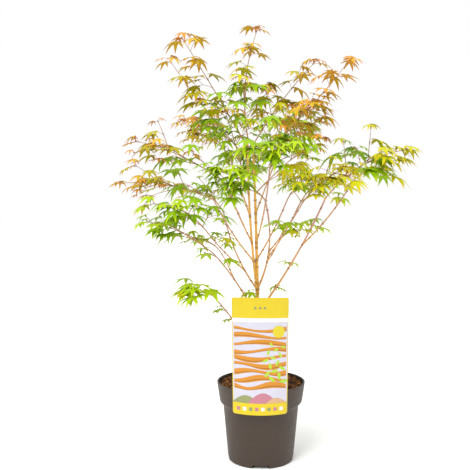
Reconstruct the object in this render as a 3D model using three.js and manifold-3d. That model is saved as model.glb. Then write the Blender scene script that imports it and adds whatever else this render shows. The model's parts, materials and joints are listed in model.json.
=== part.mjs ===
// A young palmate maple with golden bark, grown as an open vase of shoots in a
// round nursery pot, with a blank plant label hooked over the pot's rim.
// Millimetres, +Z up. The origin is the centre of the pot's flat underside, and
// the label faces -Y.
import * as THREE from "three";
import { mergeVertices } from "three/addons/utils/BufferGeometryUtils.js";
import Module from "manifold-3d";

const wasm = await Module();
wasm.setup();
const { Manifold } = wasm;

// Driving dimensions of the pot and what fills it
const GAP = 0.3; // clearance between pieces that touch
const POT = {
  height: 152,
  rimRadius: 85,
  collarHeight: 38,
  collarFootRadius: 79.5,
  bodyTopRadius: 73,
  stepHeight: 6,
  baseRadius: 63,
  footRound: 7,
  wall: 1.8,
  lip: 3.4,
  lipHeight: 3,
  facets: 36,
};
const NOTCH = { count: 4, width: 31, height: 6.5, depth: 20, roof: 1.8 };
const SOIL = { level: 146, mound: 3, rings: 4 };

// Driving dimensions of the label
const LABEL = {
  width: 104.4,
  narrowing: 0.04, // how much less wide it stands where it is bent round the pot
  height: 216.4,
  foot: 109.8, // height of its lower edge
  centre: -1.5, // along X
  thickness: 0.9,
  lean: 3, // how far the top stands back of the foot
  corner: 4,
  tongueWidth: 26,
  tongueDrop: 5.8,
  tongueInset: 2.6, // from the lip to the tongue
};

// Bark: radii taper along every limb from its foot to its tip
const TRUNK = {
  foot: [-6, 0, 138.3],
  tip: [-16, 14, 607],
  bow: [3, 0, 0],
  radius: 4.3,
  tipRadius: 1.7,
  flare: 3.2,
  flareHeight: 40,
};
const LIMB_SIDES = 6;
const LIMB_STEP = 42; // length of one section
const SWELL = 1.12; // how much a limb thickens where it leaves its parent

// Each limb leaves its parent at a share of the parent's length and runs to its
// tip with the given bow, the offset of its middle from the straight line. Name,
// parent, share, tip, bow, radius at the foot and radius at the tip.
const LIMBS = [
  ["leader_left", "trunk", 0.39, [-26, -6, 621], [-5, 0, 0], 2.7, 1.5],
  ["bough_foot_left", "trunk", 0.13, [-91, -35, 322], [-6, 0, 14], 1.6, 1.2],
  ["bough_low_left", "trunk", 0.29, [-88, -45, 402], [0, 0, 8], 1.9, 1.3],
  ["bough_low_left_back", "bough_low_left", 0.55, [-84, 28, 405], [0, 4, 4], 1.3, 1.1],
  ["bough_right_long", "trunk", 0.31, [126, 35, 506], [4, 0, -8], 2.5, 1.6],
  ["bough_right_outer", "bough_right_long", 0.62, [181, 70, 535], [3, 0, -5], 1.6, 1.3],
  ["bough_left_fork", "trunk", 0.405, [-76, 84, 474], [-8, -6, -4], 1.9, 1.3],
  ["bough_left_front", "bough_left_fork", 0.27, [-97, -68, 442], [-4, -2, 0], 1.4, 1.2],
  ["bough_right_arch", "trunk", 0.41, [7, -84, 503], [15, 2, -4], 2.2, 1.3],
  ["bough_arch_front", "bough_right_arch", 0.4, [64, -96, 488], [2, -3, -3], 1.5, 1.3],
  ["bough_arch_low", "bough_right_arch", 0.34, [40, -66, 450], [2, 0, -3], 1.2, 1.0],
  ["bough_arch_back", "bough_right_arch", 0.46, [78, -12, 497], [2, 0, -2], 1.4, 1.2],
  ["bough_mid_left", "leader_left", 0.33, [-65, -40, 532], [-2, 0, 0], 1.7, 1.3],
  ["bough_left_high", "leader_left", 0.21, [-94, 50, 501], [-3, 0, -4], 1.6, 1.3],
  ["bough_back_left", "leader_left", 0.5, [-62, 62, 585], [0, 3, 0], 1.5, 1.2],
  ["bough_centre_right", "trunk", 0.53, [52, 84, 500], [2, 3, -3], 1.7, 1.3],
  ["bough_centre_front", "trunk", 0.6, [14, -104, 552], [3, -4, -2], 1.5, 1.2],
  ["bough_back", "trunk", 0.58, [-14, 104, 532], [0, 6, -2], 1.6, 1.3],
  ["bough_back_right", "trunk", 0.72, [34, 84, 594], [0, 5, 0], 1.4, 1.2],
].map(([name, from, at, tip, bow, radius, tipRadius]) => {
  return { name, from, at, tip, bow, radius, tipRadius };
});

// Each mass is one leafy shoot. Its stem meets a limb at a share of the limb's
// length and runs to its tip; pairs of leaves and side twigs follow the rule. Name,
// limb, share, tip, bow, pairs, how many of them are twigs, length of the first twig,
// length of the oldest leaf.
const MASSES = [
  ["top", "leader_left", 1, [-7, 10, 828], [-14, 0, 0], 6, 2, 62, 34],
  ["upper_left", "leader_left", 0.93, [-146, -38, 800], [4, -8, -4], 6, 2, 60, 36],
  ["upper_left_back", "leader_left", 0.86, [-184, 60, 780], [0, 10, -6], 6, 2, 66, 36],
  ["upper_right", "trunk", 1, [106, 72, 774], [-4, 10, 6], 6, 2, 60, 36],
  ["upper_right_long", "trunk", 0.94, [163, -24, 762], [6, -4, -6], 7, 3, 72, 36],
  ["mid_left", "bough_mid_left", 1, [-224, -86, 608], [0, 0, 12], 6, 4, 80, 38],
  ["back_left", "bough_back_left", 1, [-138, 126, 668], [0, 0, 6], 5, 3, 70, 36],
  ["left_high", "bough_left_high", 1, [-288, 88, 534], [0, 0, 14], 7, 4, 76, 40],
  ["left_fork", "bough_left_fork", 1, [-130, 196, 520], [0, 0, 8], 5, 3, 70, 38],
  ["left_front", "bough_left_front", 1, [-150, -170, 494], [0, 0, 8], 5, 3, 70, 38],
  ["low_left", "bough_low_left", 1, [-208, -56, 462], [0, 0, 10], 6, 3, 60, 38],
  ["low_left_back", "bough_low_left_back", 1, [-128, 70, 424], [0, 0, 5], 3, 1, 40, 32],
  ["foot_left", "bough_foot_left", 1, [-138, -56, 328], [0, 0, 5], 3, 1, 38, 36],
  ["centre_low", "bough_right_arch", 1, [-58, -196, 552], [0, -4, 6], 5, 3, 70, 38],
  ["arch_front", "bough_arch_front", 1, [100, -196, 540], [0, 0, 8], 5, 3, 70, 40],
  ["arch_low", "bough_arch_low", 1, [64, -116, 448], [0, 0, 6], 3, 1, 40, 32],
  ["arch_back", "bough_arch_back", 1, [148, -66, 560], [0, 0, 8], 5, 3, 66, 40],
  ["right_long", "bough_right_long", 1, [276, 14, 598], [-6, 0, 16], 7, 4, 76, 42],
  ["right_outer", "bough_right_outer", 1, [236, 130, 570], [0, 0, 6], 4, 2, 62, 40],
  ["centre_right", "bough_centre_right", 1, [96, 186, 545], [0, 0, 8], 5, 3, 70, 38],
  ["centre_front", "bough_centre_front", 1, [22, -224, 592], [0, -4, 6], 5, 3, 70, 38],
  ["right_mid", "trunk", 0.8, [106, -64, 616], [0, 0, 6], 5, 3, 64, 36],
  ["back", "bough_back", 1, [-26, 224, 592], [0, 4, 8], 5, 3, 70, 38],
  ["back_right", "bough_back_right", 1, [70, 186, 676], [0, 4, 4], 5, 3, 66, 36],
  ["front_left", "leader_left", 0.62, [-64, -134, 660], [0, 0, 8], 5, 3, 66, 36],
].map(([place, on, at, tip, bow, pairs, twigs, twig, leaf]) => {
  return { name: `foliage_${place}`, on, at, tip, bow, pairs, twigs, twig, leaf };
});

// The rule by which a mass grows
const RULE = {
  stemRadius: 1.3,
  tipRadius: 0.7,
  twigRadius: 1.0,
  firstNode: 0.16,
  lastNode: 0.97,
  turn: 88, // degrees that each pair is turned from the last, about the stem
  twigAngle: 42, // degrees between a side twig and the stem
  twigLift: 0.25, // share kept of a side twig's rise out of the level
  leafLift: 0.4, // and of a stalk's
  twigLoss: 0.45, // how much shorter the last side twig is than the first
  twigPairs: [0.5, 1],
  petiole: 0.55, // of the leaf's length
  droop: [14, 42], // degrees below level
  small: 0.72, // size of the youngest leaves beside the oldest
  jitter: 16, // degrees
  tries: 5, // places a leaf is tried in before it is left out
};
// A blade: how far each lobe's tip is from the leaf stalk, and its direction
const LOBES = [
  { turn: -94, reach: 0.68 },
  { turn: -45, reach: 0.93 },
  { turn: 0, reach: 1 },
  { turn: 45, reach: 0.93 },
  { turn: 94, reach: 0.68 },
];
const SINUS = 0.34; // how far the cuts between the lobes stay from the stalk
const BLADE = { thickness: 1.1, curl: 0.16, neck: 0.5 };
const NODE_HALF = 0.8; // half the length of a node's opening
const BUD = 2.5;
const SPACE_MARGIN = 1.5; // between one mass's leaves and the next mass's space
const BARK_MARGIN = 1.2; // between leaves and limbs
const SAMPLES = 40; // points along a centre line where distances are taken
const TWIG_SAMPLES = 6;

const UP = new THREE.Vector3(0, 0, 1);
const ACROSS = new THREE.Vector3(1, 0, 0);
const rad = THREE.MathUtils.degToRad;
const vec = (p) => new THREE.Vector3(...p);

// Park-Miller numbers from 0 to 1, so that every build grows the same plant
function seeded(seed) {
  let state = (seed * 7919 + 12345) % 2147483647;
  return () => {
    state = (state * 16807) % 2147483647;
    return state / 2147483647;
  };
}

function solidOf(geometry) {
  const bare = new THREE.BufferGeometry();
  bare.setAttribute("position", geometry.getAttribute("position"));
  bare.setIndex(geometry.index);
  const merged = mergeVertices(bare, 1e-4);
  return new Manifold(
    new wasm.Mesh({
      numProp: 3,
      vertProperties: new Float32Array(merged.attributes.position.array),
      triVerts: new Uint32Array(merged.index.array),
    }),
  );
}

function geometryOf(solid) {
  const made = solid.getMesh();
  const geometry = new THREE.BufferGeometry();
  geometry.setAttribute("position", new THREE.BufferAttribute(made.vertProperties, 3));
  geometry.setIndex(new THREE.BufferAttribute(made.triVerts, 1));
  geometry.computeVertexNormals();
  return geometry;
}

function closedMesh(points, faces) {
  const geometry = new THREE.BufferGeometry().setFromPoints(points);
  geometry.setIndex(faces.flat());
  return geometry;
}

// A curve from foot to tip whose middle stands off the straight line by the bow
function bowed(foot, tip, bow) {
  const control = foot.clone().add(tip).multiplyScalar(0.5).addScaledVector(vec(bow), 2);
  return new THREE.QuadraticBezierCurve3(foot, control, tip);
}

// A tapering stick along a curve: rings of points joined by faces, closed by flat ends
function stick(curve, radiusAt, sides, steps) {
  const points = [];
  const faces = [];
  const side = new THREE.Vector3();
  const lift = new THREE.Vector3();
  for (let i = 0; i <= steps; i += 1) {
    const share = i / steps;
    const centre = curve.getPoint(share);
    const along = curve.getTangent(share);
    side.crossVectors(along, Math.abs(along.y) > 0.9 ? ACROSS : new THREE.Vector3(0, 1, 0)).normalize();
    lift.crossVectors(side, along);
    for (let k = 0; k < sides; k += 1) {
      const turn = (2 * Math.PI * k) / sides;
      const radius = radiusAt(share);
      const point = centre.clone().addScaledVector(side, radius * Math.cos(turn));
      points.push(point.addScaledVector(lift, radius * Math.sin(turn)));
    }
  }
  for (let i = 0; i < steps; i += 1)
    for (let k = 0; k < sides; k += 1) {
      const a = i * sides + k;
      const b = i * sides + ((k + 1) % sides);
      faces.push([a, b + sides, b], [a, a + sides, b + sides]);
    }
  const last = steps * sides;
  for (let k = 1; k < sides - 1; k += 1) faces.push([0, k, k + 1], [last, last + k + 1, last + k]);
  return closedMesh(points, faces);
}

// Pot: a turned shell with a tall collar under its lip and drain notches in its foot
function potOutline(inset) {
  const collarFoot = POT.height - POT.collarHeight;
  const bodyTop = collarFoot - POT.stepHeight;
  return [
    [POT.baseRadius - inset, POT.footRound],
    [POT.bodyTopRadius - inset, bodyTop],
    [POT.collarFootRadius - inset, collarFoot],
    [POT.rimRadius - inset, POT.height],
  ];
}

function turned(profile) {
  const line = profile.map(([r, z]) => new THREE.Vector2(r, z));
  return solidOf(new THREE.LatheGeometry(line, POT.facets).rotateX(Math.PI / 2));
}

function notchBoxes(grow) {
  const width = NOTCH.width + 2 * grow;
  const height = NOTCH.height + grow;
  const depth = NOTCH.depth + grow + POT.footRound;
  return Array.from({ length: NOTCH.count }, (_, i) => {
    const box = new THREE.BoxGeometry(width, depth, 2 * height);
    box.translate(0, -(POT.baseRadius - NOTCH.depth - grow + depth / 2), 0);
    return solidOf(box.rotateZ((2 * Math.PI * i) / NOTCH.count));
  });
}

function potSolid() {
  const foot = [
    [0, 0],
    [POT.baseRadius - POT.footRound / 2, 0],
    [POT.baseRadius, POT.footRound],
  ];
  const outer = turned([...foot, ...potOutline(0).slice(1), [0, POT.height]]);
  const lipFoot = POT.height - POT.lipHeight;
  const inner = turned([
    [0, POT.wall],
    [POT.baseRadius - POT.wall - POT.footRound / 2, POT.wall],
    ...potOutline(POT.wall).slice(0, 3),
    [POT.rimRadius - POT.lip, lipFoot],
    [POT.rimRadius - POT.lip, POT.height + 1],
    [0, POT.height + 1],
  ]);
  const roofs = notchBoxes(NOTCH.roof).map((box) => box.intersect(outer));
  const body = Manifold.union([outer.subtract(inner), ...roofs]);
  return body.subtract(Manifold.union(notchBoxes(0)));
}

function soilSolid() {
  const clear = POT.wall + GAP;
  const slack = 0.3; // where the shell's corners are not at the soil's heights
  const top = SOIL.level;
  const collarFoot = POT.height - POT.collarHeight;
  const share = (top - collarFoot) / (POT.height - POT.lipHeight - collarFoot);
  const low = POT.collarFootRadius - POT.wall;
  const edge = low + share * (POT.rimRadius - POT.lip - low) - GAP - slack;
  const mound = Array.from({ length: SOIL.rings }, (_, i) => {
    const along = (i + 1) / SOIL.rings;
    return [edge * (1 - along), top + SOIL.mound * Math.sin((along * Math.PI) / 2)];
  });
  const filled = turned([
    [0, clear],
    [POT.baseRadius - clear - POT.footRound / 2 - slack, clear],
    ...potOutline(clear + slack).slice(0, 3),
    [edge, top],
    ...mound,
  ]);
  return filled.subtract(Manifold.union(notchBoxes(NOTCH.roof + GAP)));
}

// Label: a card that follows the pot's curve at its foot and is flat at its top
function labelPlace(across, up) {
  const x = across * (LABEL.width / 2) * (1 - LABEL.narrowing * (1 - up));
  const frontOfRim = POT.rimRadius + GAP + LABEL.thickness + 1.2;
  const round = frontOfRim - Math.sqrt(frontOfRim ** 2 - x ** 2);
  const flattening = 1 - 0.72 * up;
  const y = -frontOfRim + round * flattening + LABEL.lean * up;
  return new THREE.Vector3(LABEL.centre + x, y, LABEL.foot + up * LABEL.height);
}

function cardSolid(place, columns, rows, thickness) {
  const points = [];
  const faces = [];
  const wide = columns + 1;
  const layer = wide * (rows + 1);
  for (const back of [0, thickness])
    for (let j = 0; j <= rows; j += 1)
      for (let i = 0; i <= columns; i += 1) {
        const point = place((2 * i) / columns - 1, j / rows);
        point.y += back;
        points.push(point);
      }
  for (let j = 0; j < rows; j += 1)
    for (let i = 0; i < columns; i += 1) {
      const a = j * wide + i;
      faces.push([a, a + 1, a + wide + 1], [a, a + wide + 1, a + wide]);
      const b = a + layer;
      faces.push([b, b + wide + 1, b + 1], [b, b + wide, b + wide + 1]);
    }
  const border = [];
  for (let i = 0; i < columns; i += 1) border.push(i);
  for (let j = 0; j < rows; j += 1) border.push(j * wide + columns);
  for (let i = columns; i > 0; i -= 1) border.push(rows * wide + i);
  for (let j = rows; j > 0; j -= 1) border.push(j * wide);
  border.forEach((a, n) => {
    const b = border[(n + 1) % border.length];
    faces.push([a, b + layer, b], [a, a + layer, b + layer]);
  });
  return solidOf(closedMesh(points, faces));
}

function box(from, to) {
  const size = to.map((value, i) => value - from[i]);
  const middle = from.map((value, i) => value + size[i] / 2);
  return solidOf(new THREE.BoxGeometry(...size).translate(...middle));
}

// The card's corners are rounded, and a tongue from it hooks over the rim
function labelSolid() {
  const card = cardSolid(labelPlace, 8, 4, LABEL.thickness);
  const [w, h, r] = [LABEL.width / 2, LABEL.height, LABEL.corner];
  const foot = w * (1 - LABEL.narrowing);
  const outline = new THREE.Shape();
  outline.absarc(foot - r, r, r, -Math.PI / 2, 0);
  outline.absarc(w - r, h - r, r, 0, Math.PI / 2);
  outline.absarc(r - w, h - r, r, Math.PI / 2, Math.PI);
  outline.absarc(r - foot, r, r, Math.PI, 1.5 * Math.PI);
  const depth = 2 * POT.rimRadius;
  const cutter = new THREE.ExtrudeGeometry(outline, { depth, bevelEnabled: false, curveSegments: 3 });
  cutter.rotateX(Math.PI / 2).translate(LABEL.centre, 0, LABEL.foot);
  const front = POT.rimRadius + 1.5 * LABEL.thickness;
  const inside = POT.rimRadius - POT.lip - LABEL.tongueInset;
  const [left, right] = [LABEL.centre - LABEL.tongueWidth / 2, LABEL.centre + LABEL.tongueWidth / 2];
  const low = POT.height + GAP;
  const high = low + LABEL.thickness;
  const over = box([left, -front, low], [right, LABEL.thickness - inside, high]);
  const down = box([left, -inside, high - LABEL.tongueDrop], [right, LABEL.thickness - inside, high]);
  return Manifold.union([card.intersect(solidOf(cutter)), over, down]);
}

// Trunk and boughs
const GROUND = SOIL.level + SOIL.mound + GAP; // height of the trunk's flat cut

function trunkLimb() {
  const curve = bowed(vec(TRUNK.foot), vec(TRUNK.tip), TRUNK.bow);
  const length = curve.getLength();
  const radiusAt = (share) => {
    const flare = TRUNK.flare * Math.exp((-share * length) / TRUNK.flareHeight);
    return TRUNK.radius + (TRUNK.tipRadius - TRUNK.radius) * share + flare;
  };
  return { name: "trunk", curve, radiusAt, steps: 16 };
}

function boughLimb(row, parent) {
  const foot = parent.curve.getPoint(row.at);
  const curve = bowed(foot, vec(row.tip), row.bow);
  const radiusAt = (share) => {
    const taper = row.radius + (row.tipRadius - row.radius) * share;
    return share < 0.05 ? taper * SWELL : taper;
  };
  const steps = Math.max(3, Math.round(curve.getLength() / LIMB_STEP));
  return { name: row.name, parent, curve, radiusAt, steps };
}

function grownStick(limb, grow) {
  return solidOf(stick(limb.curve, (share) => limb.radiusAt(share) + grow, LIMB_SIDES, limb.steps));
}

// The largest closed piece of a solid that a cut may have parted
function largest(solid) {
  return solid.decompose().sort((a, b) => b.volume() - a.volume())[0];
}

function trunkSolid(limb) {
  const below = box([-40, -40, GROUND - 40], [40, 40, GROUND]);
  return grownStick(limb, 0).subtract(below);
}

// A bough is cut clear of every limb that was there before it
function limbSolid(limb, earlier) {
  const cutters = earlier.map((other) => grownStick(other, GAP));
  return largest(grownStick(limb, 0).subtract(Manifold.union(cutters)));
}

// Foliage. A mass is grown as one closed skin: square twigs whose sides open at every
// node, where a stalk or a side twig grows out of the opening.
function levelled(direction, flatten) {
  return new THREE.Vector3(direction.x, direction.y, direction.z * flatten).normalize();
}

function aroundStem(along, turn) {
  const side = new THREE.Vector3().crossVectors(along, UP);
  if (side.length() < 0.15) side.copy(ACROSS);
  return side.normalize().applyAxisAngle(along, turn);
}

// A leaf's places, of which it takes the first that is free
function leafPlan(node, along, outward, size, random) {
  const place = () => leafPlace(node, along, outward, size, random);
  return { tries: Array.from({ length: RULE.tries }, place) };
}

function leafPlace(node, along, outward, size, random) {
  const wobble = () => rad(RULE.jitter) * (2 * random() - 1);
  const stalk = levelled(outward.clone().addScaledVector(along, 0.35 + 0.5 * random()), RULE.leafLift);
  stalk.applyAxisAngle(UP, wobble());
  stalk.z += 0.12 + 0.2 * random();
  stalk.normalize();
  const base = node.clone().addScaledVector(stalk, size * RULE.petiole * (0.8 + 0.5 * random()));
  const droop = rad(RULE.droop[0] + (RULE.droop[1] - RULE.droop[0]) * random());
  const level = levelled(stalk, 0).applyAxisAngle(UP, wobble());
  const heading = level.clone().multiplyScalar(Math.cos(droop)).addScaledVector(UP, -Math.sin(droop));
  const across = new THREE.Vector3().crossVectors(UP, level).applyAxisAngle(level, wobble());
  const normal = new THREE.Vector3().crossVectors(heading, across).normalize();
  across.crossVectors(normal, heading);
  return { node, stalk, base, heading, across, normal, size };
}

// A point of a blade: so far from the stalk, in a direction turned from the heading
function bladePoint(leaf, turn, reach) {
  const far = leaf.size * reach;
  return leaf.base
    .clone()
    .addScaledVector(leaf.heading, far * Math.cos(rad(turn)))
    .addScaledVector(leaf.across, far * Math.sin(rad(turn)))
    .addScaledVector(leaf.normal, -BLADE.curl * far);
}

// A node's pair of sprays: two leaves, or two side twigs with leaves of their own
function nodePlan(curve, share, turn, build) {
  const spot = curve.getPoint(share);
  const along = curve.getTangent(share);
  const sprays = [0, Math.PI].map((half) => build(spot, along, aroundStem(along, turn + half)));
  return { share, turn, sprays };
}

function sizeAt(row, age) {
  return row.leaf * (RULE.small + (1 - RULE.small) * age);
}

function massPlan(row, index, limbs) {
  const random = seeded(index + 1);
  const limb = limbs.get(row.on);
  const foot = limb.curve.getPoint(row.at);
  if (row.at === 1) foot.addScaledVector(limb.curve.getTangent(1), GAP);
  const stem = bowed(foot, vec(row.tip), row.bow);
  const jitter = () => rad(RULE.jitter) * (2 * random() - 1);
  const nodes = [];
  for (let i = 0; i < row.pairs; i += 1) {
    const age = 1 - i / (row.pairs - 1);
    const share = RULE.lastNode + (RULE.firstNode - RULE.lastNode) * age;
    const size = sizeAt(row, age) * (0.9 + 0.2 * random());
    const leaf = (spot, along, outward) => leafPlan(spot, along, outward, size, random);
    const twig = (spot, along, outward) => {
      const length = row.twig * (1 - (RULE.twigLoss * i) / row.pairs) * (0.85 + 0.3 * random());
      const way = levelled(outward, RULE.twigLift)
        .multiplyScalar(Math.sin(rad(RULE.twigAngle)))
        .addScaledVector(along, Math.cos(rad(RULE.twigAngle)));
      const tip = spot.clone().addScaledVector(way.normalize(), length);
      const curve = bowed(spot.clone(), tip, [0, 0, length * 0.05]);
      const pairs = RULE.twigPairs.map((place, k) =>
        nodePlan(curve, place, rad(RULE.turn * k) + jitter(), (at, ahead, out) =>
          leafPlan(at, ahead, out, size * (1 - 0.12 * k), random),
        ),
      );
      return { curve, nodes: pairs };
    };
    nodes.push(nodePlan(stem, share, rad(RULE.turn * i) + jitter(), i < row.twigs ? twig : leaf));
  }
  return { ...row, limb, stem, nodes };
}

// A mass keeps to the part of the crown that is nearer to its stem than to any
// other's, and clear of the limbs
function distanceTo(samples, point) {
  return Math.min(...samples.map((sample) => sample.distanceTo(point)));
}

function inOwnSpace(points, plan, crown) {
  return points.every((point) => {
    const mine = distanceTo(plan.samples, point) + SPACE_MARGIN;
    return (
      crown.plans.every((other) => other === plan || mine < distanceTo(other.samples, point)) &&
      crown.limbs.every((limb) => distanceTo(limb.samples, point) > limb.radiusAt(0) + BARK_MARGIN)
    );
  });
}

function leafReach(leaf) {
  const tips = LOBES.map(({ turn, reach }) => bladePoint(leaf, turn, reach));
  return [leaf.base, ...tips, ...tips.map((tip) => tip.clone().lerp(leaf.base, 0.5))];
}

// Whatever has grown so far, with the box around it
function grownPiece(solid, mass) {
  const { min, max } = solid.boundingBox();
  return { solid, mass, box: new THREE.Box3(vec(min), vec(max)).expandByScalar(GAP) };
}

function free(piece, grown) {
  return grown.every((other) => {
    if (!piece.box.intersectsBox(other.box)) return true;
    if (other.mass === piece.mass) return piece.solid.intersect(other.solid).isEmpty();
    return piece.solid.minGap(other.solid, 1) > GAP;
  });
}

// Only twigs and leaves that keep to the mass's space and touch nothing grown before
// them stay: the twigs of every mass first, since its space follows them, then leaves
function takes(plan, solid, reach, crown) {
  if (!inOwnSpace(reach, plan, crown)) return false;
  const piece = grownPiece(solid, plan.name);
  if (!free(piece, crown.grown)) return false;
  crown.grown.push(piece);
  return true;
}

function pruneTwigs(plan, crown) {
  crown.grown.push(grownPiece(squareStick(plan.stem, 0, RULE.stemRadius + 0.2), plan.name));
  const stays = ({ curve }) => {
    const solid = squareStick(curve, 0.08, RULE.twigRadius + 0.2);
    return takes(plan, solid, curve.getPoints(TWIG_SAMPLES).slice(1), crown);
  };
  for (const node of plan.nodes)
    node.sprays = node.sprays.map((spray) => (spray.curve && !stays(spray) ? null : spray));
}

function pruneLeaves(plan, crown) {
  const stays = (leaf) => takes(plan, looseLeaf(leaf), leafReach(leaf), crown);
  const keepLeaf = ({ tries }) => tries.find(stays) ?? null;
  const keepTwig = (twig) => {
    for (const node of twig.nodes) node.sprays = node.sprays.map(keepLeaf);
    return twig.nodes.some((node) => node.sprays.some(Boolean)) ? twig : null;
  };
  for (const node of plan.nodes)
    node.sprays = node.sprays.map((spray) => spray && (spray.curve ? keepTwig(spray) : keepLeaf(spray)));
}

function skeleton(plan) {
  const twigs = plan.nodes.flatMap((node) => node.sprays).filter((spray) => spray?.curve);
  const onTwigs = twigs.flatMap(({ curve }) => curve.getPoints(TWIG_SAMPLES));
  return [...plan.stem.getPoints(SAMPLES), ...onTwigs];
}

// Skin: rings of four corners, which turn the same way about the direction of growth
function addRing(skin, centre, side, lift, half) {
  const corners = [
    [1, -1],
    [1, 1],
    [-1, 1],
    [-1, -1],
  ];
  return corners.map(([i, j]) => {
    skin.points.push(centre.clone().addScaledVector(side, i * half).addScaledVector(lift, j * half));
    return skin.points.length - 1;
  });
}

function middle(skin, ring) {
  const sum = new THREE.Vector3();
  for (const corner of ring) sum.add(skin.points[corner]);
  return sum.multiplyScalar(1 / ring.length);
}

// The first ring turned to the corners that face the second ring's corners best
function matched(skin, ring, next) {
  const [here, there] = [middle(skin, ring), middle(skin, next)];
  const spoke = (corner, centre) => skin.points[corner].clone().sub(centre).normalize();
  let best = ring;
  let most = -Infinity;
  for (let shift = 0; shift < 4; shift += 1) {
    const turnedRing = ring.map((_, k) => ring[(k + shift) % 4]);
    const likeness = (sum, corner, k) => sum + spoke(corner, here).dot(spoke(next[k], there));
    const agreement = turnedRing.reduce(likeness, 0);
    if (agreement > most) [best, most] = [turnedRing, agreement];
  }
  return best;
}

function bridge(skin, ring, next, open = []) {
  const from = matched(skin, ring, next);
  for (let k = 0; k < 4; k += 1) {
    if (open.includes(k)) continue;
    const m = (k + 1) % 4;
    skin.faces.push([from[k], from[m], next[m]], [from[k], next[m], next[k]]);
  }
}

// A blade: a star of lobes with its two faces raised beside the stalk
function growLeaf(skin, ring, leaf) {
  const first = skin.points.length;
  const half = BLADE.thickness / 2;
  const back = leaf.base.clone().addScaledVector(leaf.heading, -BLADE.neck);
  skin.points.push(back.clone().addScaledVector(leaf.across, -BLADE.neck));
  LOBES.forEach(({ turn, reach }, i) => {
    if (i > 0) skin.points.push(bladePoint(leaf, (turn + LOBES[i - 1].turn) / 2, SINUS));
    skin.points.push(bladePoint(leaf, turn, reach));
  });
  skin.points.push(back.clone().addScaledVector(leaf.across, BLADE.neck));
  const last = skin.points.length - 1;
  skin.points.push(leaf.base.clone().addScaledVector(leaf.normal, half));
  skin.points.push(leaf.base.clone().addScaledVector(leaf.normal, -half));
  const [top, under] = [last + 1, last + 2];
  for (let i = first; i < last; i += 1) skin.faces.push([top, i, i + 1], [under, i + 1, i]);
  bridge(skin, ring, [last, top, first, under]);
}

function growStick(skin, ring, stick) {
  let behind = ring;
  for (const node of stick.nodes) {
    const spot = stick.curve.getPoint(node.share);
    const along = stick.curve.getTangent(node.share);
    const side = aroundStem(along, node.turn);
    const lift = new THREE.Vector3().crossVectors(along, side);
    const half = (stick.from + (stick.to - stick.from) * node.share) * Math.SQRT1_2;
    const [rear, fore] = [-NODE_HALF, NODE_HALF].map((shift) =>
      addRing(skin, spot.clone().addScaledVector(along, shift), side, lift, half),
    );
    bridge(skin, behind, rear);
    const open = [0, 2].filter((k, hand) => node.sprays[hand]);
    bridge(skin, rear, fore, open);
    node.sprays.forEach((spray, hand) => {
      if (!spray) return;
      const k = 2 * hand;
      const mouth = [rear[k], rear[k + 1], fore[k + 1], fore[k]];
      if (spray.curve) growStick(skin, mouth, { ...spray, from: RULE.twigRadius, to: RULE.tipRadius });
      else growLeaf(skin, mouth, spray);
    });
    behind = fore;
  }
  const end = stick.curve.getTangent(1).multiplyScalar(BUD).add(middle(skin, behind));
  skin.points.push(end);
  const tip = skin.points.length - 1;
  behind.forEach((corner, k) => skin.faces.push([corner, behind[(k + 1) % 4], tip]));
}

function squareStick(curve, from, radius) {
  const skin = { points: [], faces: [] };
  const rings = [from, (from + 1) / 2, 1].map((share) => {
    const along = curve.getTangent(share);
    const side = aroundStem(along, 0);
    const lift = new THREE.Vector3().crossVectors(along, side);
    return addRing(skin, curve.getPoint(share), side, lift, radius * Math.SQRT1_2);
  });
  closeFoot(skin, rings[0]);
  bridge(skin, rings[0], rings[1]);
  bridge(skin, rings[1], rings[2]);
  const [a, b, c, d] = rings[2];
  skin.faces.push([a, b, c], [a, c, d]);
  return solidOf(closedMesh(skin.points, skin.faces));
}

function closeFoot(skin, [a, b, c, d]) {
  skin.faces.push([a, c, b], [a, d, c]);
}

// A leaf by itself, from just outside its twig, to try for touching
function looseLeaf(leaf) {
  const skin = { points: [], faces: [] };
  const along = leaf.stalk;
  const side = aroundStem(along, 0);
  const lift = new THREE.Vector3().crossVectors(along, side);
  const start = leaf.node.clone().addScaledVector(along, 4);
  const ring = addRing(skin, start, side, lift, 0.6);
  closeFoot(skin, ring);
  growLeaf(skin, ring, leaf);
  return solidOf(closedMesh(skin.points, skin.faces));
}

function massSolid(plan) {
  const skin = { points: [], faces: [] };
  const foot = plan.at === 1 ? plan.limb.curve.getTangent(1) : plan.stem.getTangent(0);
  const side = aroundStem(foot, 0);
  const half = RULE.stemRadius * Math.SQRT1_2;
  const lift = new THREE.Vector3().crossVectors(foot, side);
  const ring = addRing(skin, plan.stem.getPoint(0), side, lift, half);
  closeFoot(skin, ring);
  const stem = { curve: plan.stem, nodes: plan.nodes, from: RULE.stemRadius, to: RULE.tipRadius };
  growStick(skin, ring, stem);
  const solid = solidOf(closedMesh(skin.points, skin.faces));
  return plan.at === 1 ? solid : largest(solid.subtract(grownStick(plan.limb, GAP)));
}

// Materials, by what each piece is made of
const finish = (color, roughness) => new THREE.MeshStandardMaterial({ color, roughness, metalness: 0 });
const BARK = finish(0xd08a3a, 0.6);
const SHOOT = finish(0xc07a4c, 0.6);
const LEAF = finish(0x8fb81e, 0.55);
const PLASTIC = finish(0x5a4f48, 0.55);
const COMPOST = finish(0x4a2c1a, 0.95);
const CARD = finish(0xf2d800, 0.35);

const plant = new THREE.Group();

function add(name, solid, material) {
  const mesh = new THREE.Mesh(geometryOf(solid), material);
  mesh.name = name;
  plant.add(mesh);
}

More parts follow.
